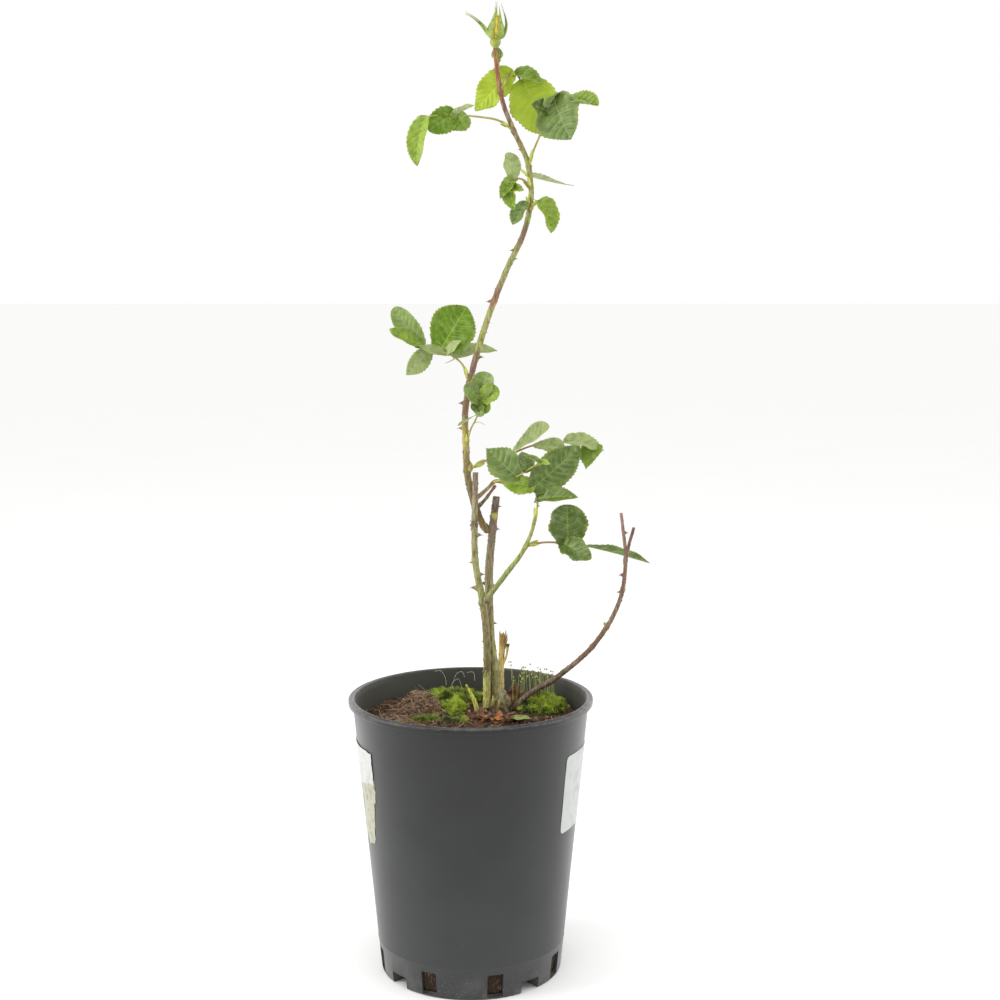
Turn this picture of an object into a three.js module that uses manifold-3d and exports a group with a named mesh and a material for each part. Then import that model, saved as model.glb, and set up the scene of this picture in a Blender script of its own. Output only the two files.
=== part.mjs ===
// A young rose bush in its plastic nursery pot, in millimetres, +Z up.
// The origin is on the ground under the pot's axis, and the plant's front faces -Y.
// A turn is a heading in degrees from +X towards +Y, and a rise is an angle above the horizon.
import * as THREE from "three";
import { mergeVertices } from "three/addons/utils/BufferGeometryUtils.js";
import Module from "manifold-3d";

const wasm = await Module();
wasm.setup();

// Driving dimensions
const gap = 0.3; // clear space between pieces that meet

const pot = {
  height: 229,
  rimRadius: 100,
  rimDepth: 5,
  wallTopRadius: 96.3, // outside, just under the rim
  footRadius: 74.8, // outside, on the ground
  wall: 2,
  floor: 2.5,
  edge: 1.5, // bevel on the rim's and the foot's corners
  sides: 64,
};
const feet = {
  count: 4,
  heading: -95, // the middle of the front foot
  channelWidth: 18,
  channelHeight: 10,
  channelStart: 25, // the pot stands flat inside this radius
  slotSpread: 20.5, // degrees from a foot's middle to each of its two drainage slots
  slotWidth: 13,
  slotLow: 1.5,
  slotHigh: 21,
};
const soilTop = 210;
const ground = soilTop + gap; // where stems are cut off flat and loose things lie

const crown = { x: 22, y: 27, footRadius: 12, waist: 6, height: 20 };

// Limbs: routes run from root to tip, and the radius tapers evenly along each.
// A thorn has a height, a heading and a length, and clearOf names the limbs that a side shoot is cut by.
const limbs = {
  left_cane: {
    route: [[13, 27, 208], [13, 24, 236], [13, 20, 267], [10, 16, 302], [4, 16, 335], [3, 16, 359], [4, 16, 411]],
    root: 3.2,
    tip: 2.2,
    thorns: [[361, 0, 3.5], [328, 0, 3.5], [317, 180, 5], [338, 180, 2.5], [345, 100, 4], [290, 60, 3]],
  },
  middle_cane: {
    route: [[23, 27.5, 214], [21, 28, 238], [17, 27, 260], [15, 25, 293], [15, 25, 330], [18, 25, 364], [21, 25, 390]],
    root: 3.5,
    tip: 2.6,
    thorns: [[319, 190, 4], [317, 0, 3], [285, 0, 3], [264, 180, 3.5], [364, 0, 2.5], [300, 90, 4], [346, 60, 3]],
  },
  tall_shoot_lower: {
    clearOf: ["middle_cane"],
    route: [
      [17, 25, 361], [11, 25, 365], [4, 25, 381], [-2, 24, 404], [-4, 23, 433], [-4, 19, 463],
      [3, 15, 499], [16, 9, 541], [30, 5, 576], [43, 1, 604], [48, -1, 628],
    ],
    root: 2.9,
    tip: 2.2,
    thorns: [[550, 180, 4], [506, 0, 3.5], [468, 180, 4], [448, 180, 3.5], [590, 190, 3], [525, 60, 3.5], [485, 250, 3]],
  },
  tall_shoot_upper: {
    route: [[48, -1, 628.5], [48, -2, 642], [45, -2, 659], [34, 0, 683], [26, 2, 704], [22, 4, 725], [20, 5, 745]],
    root: 2.2,
    tip: 1.5,
  },
  green_shoot: {
    clearOf: ["left_cane"],
    route: [[10, 16, 303], [17, 13, 312], [30, 9, 330], [42, 5, 347], [49, 2, 363], [52, 1, 374]],
    root: 2,
    tip: 1.1,
  },
  brown_cane_lower: {
    route: [[33, 28, 208], [46, 20, 223], [73, 4, 245], [99, -8, 272], [115, -15, 299]],
    root: 2.4,
    tip: 1.9,
    thorns: [[273, 130, 3], [253, 140, 2.5]],
  },
  brown_cane_upper: {
    route: [[115, -15, 299.5], [122, -19, 321], [124, -20, 348], [123, -20, 360], [120, -20, 383]],
    root: 1.9,
    tip: 1.2,
    thorns: [[334, 180, 3], [320, 180, 2.5], [368, 0, 2]],
    prong: { route: [[124, -20, 345], [126, -22, 356], [130, -24, 372]], root: 1.4, tip: 1.2 },
  },
  upper_twig: {
    clearOf: ["left_cane"],
    route: [[4, 16, 389], [14, 17, 398], [20, 14, 404], [26, 11, 404]],
    root: 1.4,
    tip: 1.2,
  },
  lower_twig: {
    clearOf: ["tall_shoot_lower", "upper_twig"],
    route: [[4, 25, 380], [11, 23, 387], [16, 20, 394], [20, 17, 400]],
    root: 1.4,
    tip: 1.1,
  },
  dead_stub: {
    route: [[25, 40, 208], [25, 40, 240], [26, 40, 272]],
    root: 3,
    tip: 2.5,
  },
  yellow_stub: {
    route: [[6, 19, 208], [2, 17, 221], [-4, 15, 234]],
    root: 2,
    tip: 1.2,
  },
};
const limbSides = 8;
const limbStep = 8; // between rings along a limb
const axisPoints = 200; // points on a limb's axis that a height is looked up in
const thornWidth = 1.6; // half of a thorn's width, measured on the limb's axis
const thornDroop = 15; // degrees that a thorn points down

// Leaves: each has a stalk from a height on its limb, and leaflets that leave it at a share of its length.
// A leaflet's roll turns its upper face, its fold lifts both halves, and its arch bends the tip down.
const leaves = {
  top_leaf: {
    limb: "tall_shoot_upper",
    height: 710,
    stalk: [[28, 4, 721], [34, 12, 728], [42, 9, 719]],
    leaflets: [
      { along: 0.58, turn: 165, rise: -45, long: 42, wide: 25, roll: -80, fold: 8, arch: 20 },
      { along: 1, turn: -3, rise: -62, long: 47, wide: 38, roll: 85, fold: 8, arch: 15 },
      { along: 0.75, turn: -18, rise: -13, long: 20, wide: 14, roll: 50, fold: 30, arch: 60 },
    ],
  },
  upper_right_leaf: {
    limb: "tall_shoot_upper",
    height: 654,
    stalk: [[50, -6, 666], [55, -9, 678], [62, -10, 699], [74, -12, 703]],
    leaflets: [
      { along: 0.88, turn: -50, rise: -57, long: 32, wide: 40, roll: 70, fold: 12, arch: 20 },
      { along: 0.72, turn: -154, rise: 39, long: 12, wide: 14, roll: -70, fold: 10, arch: 20 },
      { along: 0.82, turn: -36, rise: 46, long: 14, wide: 12, roll: 40, fold: 10, arch: 40 },
      { along: 1, turn: -36, rise: -4, long: 31, wide: 20, roll: 35, fold: 35, arch: -20 },
    ],
  },
  upper_left_leaf: {
    limb: "tall_shoot_upper",
    height: 682,
    stalk: [[23, -4, 689], [11, -9, 691], [-13, -19, 692], [-26, -25, 691]],
    leaflets: [
      { along: 0.62, turn: -155, rise: -55, long: 19, wide: 15, roll: -60, fold: 20, arch: 20 },
      { along: 0.78, turn: -162, rise: -48, long: 23, wide: 23, roll: -85, fold: 10, arch: 30 },
      { along: 0.82, turn: -44, rise: 9, long: 23, wide: 10, roll: 20, fold: 40, arch: 0 },
      { along: 1, turn: -147, rise: -67, long: 42, wide: 17, roll: -30, fold: 25, arch: 75 },
    ],
  },
  middle_left_leaf: {
    limb: "tall_shoot_upper",
    height: 636,
    stalk: [[43, -8, 643], [36, -14, 644], [30, -18, 638]],
    leaflets: [
      { along: 0.84, turn: 103, rise: 75, long: 24, wide: 14, roll: 10, fold: 12, arch: 20 },
      { along: 0.73, turn: -145, rise: -48, long: 19, wide: 12, roll: -50, fold: 25, arch: 60 },
      { along: 1, turn: -32, rise: -13, long: 16, wide: 9, roll: 60, fold: 20, arch: 0 },
      { along: 0.98, turn: -46, rise: -73, long: 19, wide: 14, roll: 60, fold: 20, arch: 30 },
    ],
  },
  small_left_leaf: {
    limb: "tall_shoot_lower",
    height: 624,
    stalk: [[44, -5, 626]],
    leaflets: [{ along: 1, turn: -146, rise: -54, long: 22, wide: 14, roll: -40, fold: 15, arch: 20 }],
  },
  small_back_leaf: {
    limb: "tall_shoot_upper",
    height: 647,
    stalk: [[44, 3, 650], [48, 8, 651]],
    leaflets: [{ along: 1, turn: 29, rise: -14, long: 42, wide: 11, roll: 5, fold: 30, arch: -10 }],
  },
  small_right_leaf: {
    limb: "tall_shoot_lower",
    height: 624,
    stalk: [[54, -6, 626]],
    leaflets: [{ along: 1, turn: -50, rise: -58, long: 26, wide: 14, roll: 15, fold: 20, arch: 110 }],
  },
  left_leaf: {
    limb: "tall_shoot_lower",
    height: 484,
    stalk: [[-8, 18, 499], [-15, 20, 505], [-28, 25, 509], [-41, 32, 514]],
    leaflets: [
      { along: 1, turn: 155, rise: 53, long: 39, wide: 21, roll: -75, fold: 15, arch: 20 },
      { along: 0.98, turn: -167, rise: 28, long: 31, wide: 12, roll: -60, fold: 10, arch: 30 },
      { along: 0.67, turn: -20, rise: 59, long: 45, wide: 37, roll: 80, fold: 8, arch: 12 },
      { along: 0.86, turn: -142, rise: -44, long: 30, wide: 15, roll: -85, fold: 8, arch: 30 },
      { along: 0.52, turn: -143, rise: 32, long: 17, wide: 9, roll: -40, fold: 20, arch: 0 },
      { along: 0.45, turn: 32, rise: 6, long: 42, wide: 15, roll: 35, fold: 20, arch: 30 },
    ],
  },
  front_leaf: {
    limb: "tall_shoot_lower",
    height: 431,
    stalk: [[0, 14, 446], [6, 8, 459]],
    leaflets: [
      { along: 1, turn: -48, rise: 71, long: 34, wide: 26, roll: 130, fold: 12, arch: 30 },
      { along: 1, turn: -174, rise: -25, long: 20, wide: 5, roll: -60, fold: 20, arch: 0 },
    ],
  },
  right_leaf: {
    limb: "tall_shoot_lower",
    height: 411,
    stalk: [[6, 20, 417], [16, 19, 422], [31, 20, 425], [49, 25, 434], [90, 31, 433]],
    leaflets: [
      { along: 0.4, turn: -22, rise: 38, long: 42, wide: 11, roll: 45, fold: 30, arch: 10 },
      { along: 0.6, turn: -7, rise: -1, long: 26, wide: 13, roll: 50, fold: 25, arch: 20 },
      { along: 1, turn: -63, rise: -45, long: 25, wide: 27, roll: 15, fold: 15, arch: 60 },
    ],
  },
  twig_leaf: {
    limb: "upper_twig",
    height: 403.5,
    stalk: [[37, -3, 410], [50, -12, 419], [60, -19, 424]],
    leaflets: [
      { along: 0.2, turn: 140, rise: 60, long: 28, wide: 24, roll: -60, fold: 12, arch: 15 },
      { along: 0.47, turn: 70, rise: 54, long: 17, wide: 13, roll: 0, fold: 15, arch: 20 },
      { along: 0.85, turn: 170, rise: 33, long: 14, wide: 6, roll: -40, fold: 30, arch: 0 },
      { along: 0.9, turn: -51, rise: 1, long: 14, wide: 8, roll: 60, fold: 20, arch: 40 },
    ],
  },
  shoot_leaf: {
    limb: "green_shoot",
    height: 374,
    stalk: [[54, 0, 386], [53, 0, 395], [51, 0, 402]],
    leaflets: [
      { along: 0.58, turn: -29, rise: 9, long: 38, wide: 17, roll: 45, fold: 20, arch: 25 },
      { along: 0.97, turn: 17, rise: 37, long: 52, wide: 29, roll: 82, fold: 8, arch: 20 },
      { along: 0.97, turn: 162, rise: 13, long: 24, wide: 14, roll: -75, fold: 12, arch: 30 },
    ],
  },
  low_right_leaf: {
    limb: "green_shoot",
    height: 352,
    stalk: [[56, 4, 355], [69, 6, 355], [96, 10, 351]],
    leaflets: [
      { along: 0.68, turn: 95, rise: 77, long: 33, wide: 32, roll: 0, fold: 8, arch: 20 },
      { along: 0.58, turn: -41, rise: -18, long: 31, wide: 19, roll: 60, fold: 15, arch: 40 },
      { along: 1, turn: 4, rise: -16, long: 54, wide: 14, roll: 20, fold: 25, arch: 6 },
    ],
  },
};
const stalk = { root: 1.2, tip: 0.7, sides: 5, step: 8 };
const leafThick = 0.7;
const leafRoot = 1; // how far a leaflet's foot runs back past the middle of its stalk
const leafPoint = 0.3; // least half width, at a leaflet's two ends
const broadLeaf = 16; // a leaflet wider than this has more columns of faces

// The buds at the tip, with the long narrow sepals of the big one
const topBud = { root: [20, 5, 745.3], tip: [21.6, 5, 772], hip: 4.2, neck: 3.4, belly: 7.2 };
const sepals = [
  { turn: 170, rise: 38, long: 35, wide: 4, fold: 20, arch: 25 },
  { turn: 110, rise: 84, long: 29, wide: 4, fold: 15, arch: 0 },
  { turn: -20, rise: 100, long: 29, wide: 4, fold: 15, arch: -25 },
  { turn: -100, rise: 88, long: 22, wide: 5, fold: 15, arch: -10 },
  { turn: 45, rise: 95, long: 26, wide: 4, fold: 15, arch: -20 },
];
const smallBud = { root: 716, stalk: [[24, 7, 722], [24, 9.5, 729], [23.6, 11, 735]], tip: [22, 11.3, 747], belly: 4.4 };

// Moss cushions and fallen leaves on the soil: middle, size, and for a leaf its heading
const moss = {
  moss_right: { at: [59, 33], size: [40, 48, 9] },
  moss_back: { at: [-16, 62], size: [56, 34, 7] },
  moss_left: { at: [-15, 24], size: [22, 32, 7] },
  moss_front: { at: [-38, -6], size: [20, 16, 4] },
  moss_near: { at: [-14, -9], size: [22, 14, 4] },
};
const fallen = {
  fallen_leaf_brown: { at: [0, -4], turn: -20, rise: 4, long: 16, wide: 10, fold: 25, arch: -40 },
  fallen_leaf_orange: { at: [19, -11], turn: -60, rise: 15, long: 14, wide: 10, fold: 15, arch: -30 },
  fallen_leaf_green: { at: [34, -6], turn: -30, rise: 3, long: 16, wide: 11, fold: 12, arch: -25 },
  fallen_leaf_back: { at: [34, 58], turn: 20, rise: 25, long: 13, wide: 9, fold: 25, arch: -30 },
};

// Paper labels on the pot's wall: heading of the middle, height of the middle, and size
const labelThick = 0.4;
const labelCorner = 3;
const labelZone = 60; // the labels keep above this height
const labels = {
  sticker: { heading: -18, middle: 163, wide: 52, high: 70 },
  torn_label: { heading: 196, middle: 158, wide: 56, high: 90 },
};

// Materials
function paint(color, roughness) {
  return new THREE.MeshStandardMaterial({ color, roughness, metalness: 0 });
}
const plastic = paint("#2f3436", 0.5);
const earth = paint("#4a3a2c", 1);
const bark = paint("#8a8a62", 0.7);
const brownBark = paint("#5d4239", 0.7);
const deadWood = paint("#b08a4a", 0.9);
const leafGreen = paint("#5f8a3a", 0.5);
const budGreen = paint("#7f9a3c", 0.6);
const mossGreen = paint("#6c8a2c", 1);
const dryLeaf = paint("#a8672f", 0.9);
const paper = paint("#f0f0ec", 0.6);

// Small helpers
const radians = THREE.MathUtils.degToRad;

function spot([x, y, z]) {
  return new THREE.Vector3(x, y, z);
}

function heading(turn, rise = 0) {
  const flat = Math.cos(radians(rise));
  return new THREE.Vector3(
    Math.cos(radians(turn)) * flat,
    Math.sin(radians(turn)) * flat,
    Math.sin(radians(rise)),
  );
}

function smooth(points) {
  return new THREE.CatmullRomCurve3(points, false, "centripetal");
}

// A closed geometry as a solid that can be joined and cut, with its faces turned outwards
function solid(geometry) {
  const bare = geometry.clone();
  bare.deleteAttribute("normal");
  bare.deleteAttribute("uv");
  const merged = mergeVertices(bare, 1e-4);
  const corners = Array.from(merged.index.array);
  const kept = [];
  for (let i = 0; i < corners.length; i += 3) {
    const [a, b, c] = corners.slice(i, i + 3);
    if (a !== b && b !== c && c !== a) kept.push(a, b, c);
  }
  const build = (triVerts) =>
    new wasm.Manifold(
      new wasm.Mesh({
        numProp: 3,
        vertProperties: merged.attributes.position.array,
        triVerts: new Uint32Array(triVerts),
      }),
    );
  const made = build(kept);
  return made.volume() > 0 ? made : build(kept.reverse());
}

const group = new THREE.Group();

// Adds a finished solid to the group as a named mesh
function place(name, made, material) {
  const { vertProperties, triVerts } = made.getMesh();
  const geometry = new THREE.BufferGeometry();
  geometry.setAttribute("position", new THREE.BufferAttribute(vertProperties, 3));
  geometry.setIndex(new THREE.BufferAttribute(triVerts, 1));
  geometry.computeVertexNormals();
  const mesh = new THREE.Mesh(geometry, material);
  mesh.name = name;
  group.add(mesh);
}

function box(width, depth, height, x, y, z) {
  return new THREE.BoxGeometry(width, depth, height).translate(x, y, z);
}

// A profile of [radius, height] pairs turned round the Z axis
function turned(profile, sides) {
  const points = profile.map(([radius, height]) => new THREE.Vector2(radius, height));
  return solid(new THREE.LatheGeometry(points, sides).rotateX(Math.PI / 2));
}

// Limbs

// A round limb along a route, tapering evenly, with grow added to its radius all along
function tube(route, root, tip, { grow = 0, sides = limbSides, step = limbStep } = {}) {
  const curve = smooth(route);
  const steps = Math.max(2, Math.round(curve.getLength() / step));
  const frames = curve.computeFrenetFrames(steps, false);
  const profile = [new THREE.Vector2(0, 0)];
  for (let i = 0; i <= steps; i++) {
    profile.push(new THREE.Vector2(THREE.MathUtils.lerp(root, tip, i / steps) + grow, i / steps));
  }
  profile.push(new THREE.Vector2(0, 1));
  const geometry = new THREE.LatheGeometry(profile, sides);
  const position = geometry.attributes.position;
  for (let i = 0; i < position.count; i++) {
    const share = position.getY(i);
    const ring = Math.round(share * steps);
    const point = curve
      .getPointAt(share)
      .addScaledVector(frames.normals[ring], position.getX(i))
      .addScaledVector(frames.binormals[ring], position.getZ(i));
    position.setXYZ(i, point.x, point.y, point.z);
  }
  return solid(geometry);
}

// The point on a limb's axis at a height above the ground
function axisAt(name, height) {
  const points = smooth(limbs[name].route.map(spot)).getSpacedPoints(axisPoints);
  const near = (a, b) => (Math.abs(a.z - height) < Math.abs(b.z - height) ? a : b);
  return points.reduce(near);
}

function thorn(name, [height, turn, length]) {
  const limb = limbs[name];
  const reach = limb.root + length;
  const cone = new THREE.ConeGeometry(thornWidth, reach, 5).translate(0, reach / 2, 0);
  const point = new THREE.Quaternion();
  point.setFromUnitVectors(new THREE.Vector3(0, 1, 0), heading(turn, -thornDroop));
  const at = axisAt(name, height);
  return solid(cone.applyQuaternion(point).translate(at.x, at.y, at.z));
}

function limbSolid(name, grow = 0) {
  const { route, root, tip } = limbs[name];
  return tube(route.map(spot), root, tip, { grow });
}

function crownSolid(grow = 0) {
  const { x, y, footRadius, waist, height } = crown;
  const profile = [
    [0, -gap],
    [footRadius, -gap],
    [footRadius * 0.8, height * 0.2],
    [waist, height * 0.5],
    [waist * 0.9, height * 0.9],
    [0, height],
  ];
  const widened = profile.map(([radius, level]) => [radius ? radius + grow : 0, level + (level > 0 ? grow : 0)]);
  return turned(widened, 16).translate([x, y, ground]);
}

// Everything below the ground level, to cut a stem's foot off flat
const below = solid(box(300, 300, 100, 0, 0, ground - 50));

function addLimbs() {
  const grownCrown = crownSolid(gap);
  place("crown", crownSolid().subtract(below), bark);
  for (const [name, { thorns = [], clearOf = [], prong }] of Object.entries(limbs)) {
    let made = limbSolid(name);
    for (const spike of thorns) made = made.add(thorn(name, spike));
    if (prong) made = made.add(tube(prong.route.map(spot), prong.root, prong.tip));
    for (const other of clearOf) made = made.subtract(limbSolid(other, gap));
    made = made.subtract(below).subtract(grownCrown);
    place(name, made, barkOf(name));
  }
}

function barkOf(name) {
  if (name.startsWith("brown")) return brownBark;
  return name === "dead_stub" ? deadWood : bark;
}

// Leaves

// Half the width of a leaflet at a share of its length, as a part of its greatest half width
function outline(share) {
  return Math.sin(Math.PI * share ** 0.8) ** (0.45 + 0.4 * share);
}

// A leaflet is a thin box bent into a pointed oval, with its foot at the given point
function blade(foot, { turn, rise, long, wide, roll = 0, fold = 0, arch = 0 }) {
  const rows = 4 + Math.round(long / 20);
  const columns = wide > broadLeaf ? 4 : 2;
  const geometry = new THREE.BoxGeometry(1, 1, 1, columns, rows, 1);
  const ahead = heading(turn, rise);
  const up = heading(turn, rise + 90).applyAxisAngle(ahead, radians(roll));
  const side = new THREE.Vector3().crossVectors(ahead, up);
  const half = radians(arch || 1) / 2;
  const bendRadius = long / 2 / Math.sin(half);
  const position = geometry.attributes.position;
  for (let i = 0; i < position.count; i++) {
    const share = position.getY(i) + 0.5;
    const across = position.getX(i) * 2;
    const angle = half * (2 * share - 1);
    const reach = Math.max((wide / 2) * outline(share), leafPoint);
    const lift = Math.abs(across) * reach * Math.sin(radians(fold)) + position.getZ(i) * leafThick;
    const forward = bendRadius * (Math.sin(angle) + Math.sin(half)) + lift * Math.sin(angle) - leafRoot;
    const height = bendRadius * (Math.cos(angle) - Math.cos(half)) + lift * Math.cos(angle);
    const point = foot
      .clone()
      .addScaledVector(ahead, forward)
      .addScaledVector(up, height)
      .addScaledVector(side, across * reach * Math.cos(radians(fold)));
    position.setXYZ(i, point.x, point.y, point.z);
  }
  return solid(geometry);
}

function leafSolid({ limb, height, stalk: route, leaflets }) {
  const points = [axisAt(limb, height), ...route.map(spot)];
  const curve = smooth(points);
  let made = tube(points, stalk.root, stalk.tip, stalk);
  for (const leaflet of leaflets) {
    made = made.add(blade(curve.getPointAt(leaflet.along), leaflet));
  }
  return made.subtract(limbSolid(limb, gap));
}

function addLeaves() {
  for (const [name, leaf] of Object.entries(leaves)) place(name, leafSolid(leaf), leafGreen);
}

// Buds

function budSolid(root, tip, profile) {
  const axis = new THREE.Vector3().subVectors(tip, root);
  const points = profile.map(([radius, share]) => new THREE.Vector2(radius, share * axis.length()));
  const geometry = new THREE.LatheGeometry(points, 12);
  const lean = new THREE.Quaternion().setFromUnitVectors(new THREE.Vector3(0, 1, 0), axis.normalize());
  return solid(geometry.applyQuaternion(lean).translate(root.x, root.y, root.z));
}

function addBuds() {
  const { root, tip, hip, neck, belly } = topBud;
  const profile = [
    [0, 0], [1.6, 0], [hip, 0.15], [hip, 0.22], [neck, 0.29],
    [belly, 0.42], [belly, 0.52], [belly * 0.75, 0.7], [belly * 0.3, 0.9], [0, 1],
  ];
  const sepalFoot = new THREE.Vector3().lerpVectors(spot(root), spot(tip), 0.32);
  let made = budSolid(spot(root), spot(tip), profile);
  for (const sepal of sepals) {
    const foot = sepalFoot.clone().addScaledVector(heading(sepal.turn), belly * 0.6);
    made = made.add(blade(foot, sepal));
  }
  place("top_bud", made, budGreen);

  const drop = [[0, 0], [1, 0], [smallBud.belly, 0.35], [smallBud.belly * 0.8, 0.6], [1, 0.9], [0, 1]];
  const route = smallBud.stalk.map(spot);
  const stem = tube([axisAt("tall_shoot_upper", smallBud.root), ...route], 0.9, 1, stalk);
  const small = stem.add(budSolid(route.at(-1), spot(smallBud.tip), drop));
  place("small_bud", small.subtract(limbSolid("tall_shoot_upper", gap)), budGreen);
}

// Pot and soil

function wallRadius(level) {
  const slope = (pot.wallTopRadius - pot.footRadius) / (pot.height - pot.rimDepth);
  return pot.footRadius + slope * level;
}

// The raised channels under the pot's floor, between its feet
function channels(grow) {
  const length = pot.rimRadius - feet.channelStart;
  const width = feet.channelWidth + 2 * grow;
  const height = 2 * (feet.channelHeight + grow);
  const bar = solid(box(length, width, height, feet.channelStart - grow + length / 2, 0, 0));
  let made = null;
  for (let i = 0; i < feet.count; i++) {
    const turn = feet.heading + (360 / feet.count) * (i + 0.5);
    const placed = bar.rotate([0, 0, turn]);
    made = made ? made.add(placed) : placed;
  }
  return made;
}

function drainSlots() {
  const middle = (feet.slotLow + feet.slotHigh) / 2;
  const deep = 4 * pot.wall;
  const slot = solid(box(deep, feet.slotWidth, feet.slotHigh - feet.slotLow, pot.footRadius, 0, middle));
  let made = null;
  for (let i = 0; i < feet.count; i++) {
    for (const side of [-1, 1]) {
      const placed = slot.rotate([0, 0, feet.heading + (360 / feet.count) * i + side * feet.slotSpread]);
      made = made ? made.add(placed) : placed;
    }
  }
  return made;
}

// The hollow inside the pot, shrunk by the given clearance
function inside(clearance, top) {
  const inner = (level) => wallRadius(level) - pot.wall - clearance;
  const low = pot.floor + clearance;
  return turned([[0, low], [inner(low), low], [inner(top), top], [0, top]], pot.sides);
}

function addPot() {
  const { height, rimRadius, rimDepth, edge, footRadius } = pot;
  const shell = turned(
    [
      [0, 0],
      [footRadius - edge, 0],
      [wallRadius(edge), edge],
      [wallRadius(height - rimDepth), height - rimDepth],
      [rimRadius - edge / 2, height - rimDepth],
      [rimRadius, height - rimDepth + edge],
      [rimRadius, height - edge],
      [rimRadius - edge, height],
      [0, height],
    ],
    pot.sides,
  );
  const hollow = inside(0, height + edge).subtract(channels(pot.floor));
  const mouth = turned(
    [[0, height - edge], [wallRadius(height) - pot.wall, height - edge], [wallRadius(height), height], [0, height + 1]],
    pot.sides,
  );
  place("pot", shell.subtract(channels(0)).subtract(hollow).subtract(mouth).subtract(drainSlots()), plastic);
  place("soil", inside(gap, soilTop).subtract(channels(pot.floor + gap)), earth);
}

// Moss and fallen leaves

function addLitter() {
  for (const [name, { at, size }] of Object.entries(moss)) {
    const ball = new THREE.SphereGeometry(0.5, 14, 8).scale(size[0], size[1], 2 * size[2]);
    const dome = solid(ball.translate(at[0], at[1], ground)).subtract(below);
    place(name, dome, mossGreen);
  }
  for (const [name, { at, ...shape }] of Object.entries(fallen)) {
    const leaf = blade(new THREE.Vector3(at[0], at[1], ground), shape);
    const drop = ground - leaf.boundingBox().min[2];
    place(name, leaf.translate([0, 0, drop]), name.endsWith("green") ? leafGreen : dryLeaf);
  }
}

// Paper labels, cut out of a thin shell round the wall

function labelShape({ wide, high }) {
  const across = wide / 2 - labelCorner;
  const up = high / 2 - labelCorner;
  const shape = new THREE.Shape();
  shape.absarc(across, -up, labelCorner, -Math.PI / 2, 0);
  shape.absarc(across, up, labelCorner, 0, Math.PI / 2);
  shape.absarc(-across, up, labelCorner, Math.PI / 2, Math.PI);
  shape.absarc(-across, -up, labelCorner, Math.PI, 1.5 * Math.PI);
  return shape;
}

function tornShape({ wide, high }) {
  const shape = new THREE.Shape();
  shape.moveTo(-wide / 2, high / 2);
  shape.lineTo(-wide / 2, -high * 0.3);
  shape.lineTo(-wide * 0.2, -high * 0.38);
  shape.lineTo(wide * 0.1, -high / 2);
  shape.lineTo(wide * 0.34, -high * 0.46);
  shape.lineTo(wide * 0.4, -high * 0.2);
  shape.lineTo(wide / 2, 0);
  shape.lineTo(wide * 0.42, high / 2);
  return shape;
}

function addLabels() {
  const outer = gap + labelThick;
  const low = labelZone;
  const high = pot.height - pot.rimDepth - gap;
  const paperShell = turned(
    [
      [wallRadius(low) + gap, low],
      [wallRadius(low) + outer, low],
      [wallRadius(high) + outer, high],
      [wallRadius(high) + gap, high],
      [wallRadius(low) + gap, low],
    ],
    pot.sides,
  );
  const shapes = { sticker: labelShape(labels.sticker), torn_label: tornShape(labels.torn_label) };
  for (const [name, shape] of Object.entries(shapes)) {
    const cutter = new THREE.ExtrudeGeometry(shape, { depth: pot.footRadius, bevelEnabled: false, curveSegments: 4 });
    cutter.rotateX(Math.PI / 2).rotateZ(Math.PI / 2);
    cutter.translate(pot.footRadius / 2, 0, labels[name].middle);
    const placed = solid(cutter).rotate([0, 0, labels[name].heading]);
    place(name, paperShell.intersect(placed), paper);
  }
}

addPot();
addLimbs();
addLeaves();
addBuds();
addLitter();
addLabels();

export default group;
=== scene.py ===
import math
import random

import bmesh
import bpy
import numpy as np
from mathutils import Matrix, Vector, noise


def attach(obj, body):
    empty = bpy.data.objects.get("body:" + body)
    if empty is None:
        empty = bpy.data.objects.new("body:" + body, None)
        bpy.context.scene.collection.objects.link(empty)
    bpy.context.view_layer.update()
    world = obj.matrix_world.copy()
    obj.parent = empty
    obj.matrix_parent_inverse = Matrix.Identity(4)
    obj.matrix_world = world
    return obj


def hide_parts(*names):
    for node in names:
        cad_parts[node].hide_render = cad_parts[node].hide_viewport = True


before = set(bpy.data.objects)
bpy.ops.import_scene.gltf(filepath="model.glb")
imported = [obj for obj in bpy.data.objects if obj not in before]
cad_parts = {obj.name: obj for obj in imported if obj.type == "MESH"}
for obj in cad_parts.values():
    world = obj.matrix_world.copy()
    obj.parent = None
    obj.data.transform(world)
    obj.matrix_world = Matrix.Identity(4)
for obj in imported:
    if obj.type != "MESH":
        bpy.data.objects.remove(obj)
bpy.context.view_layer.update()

mm = 0.001  # shapes are worked out in millimetres and made metres when a piece is finished
print("frame loaded:", len(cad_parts), "nodes")


# Materials

def colour(code):  # a screen colour such as 5f8a3a, made linear
    parts = [int(code[i:i + 2], 16) / 255 for i in (0, 2, 4)]
    linear = [part / 12.92 if part <= 0.04045 else ((part + 0.055) / 1.055) ** 2.4 for part in parts]
    return (*linear, 1)


class Wire:  # a socket that takes Python's own arithmetic
    def __init__(self, finish, socket):
        self.finish = finish
        self.socket = socket

    def maths(self, operation, first, second):
        return self.finish.node("Math", {"operation": operation}, {0: first, 1: second})

    def __add__(self, other):
        return self.maths("ADD", self, other)

    def __sub__(self, other):
        return self.maths("SUBTRACT", self, other)

    def __rsub__(self, other):
        return self.maths("SUBTRACT", other, self)

    def __mul__(self, other):
        return self.maths("MULTIPLY", self, other)

    __radd__ = __add__
    __rmul__ = __mul__

    def rise(self, low, high):  # 0 up to low, 1 from high on
        return self.finish.node("MapRange", {}, {"Value": self, "From Min": low, "From Max": high})


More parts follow.
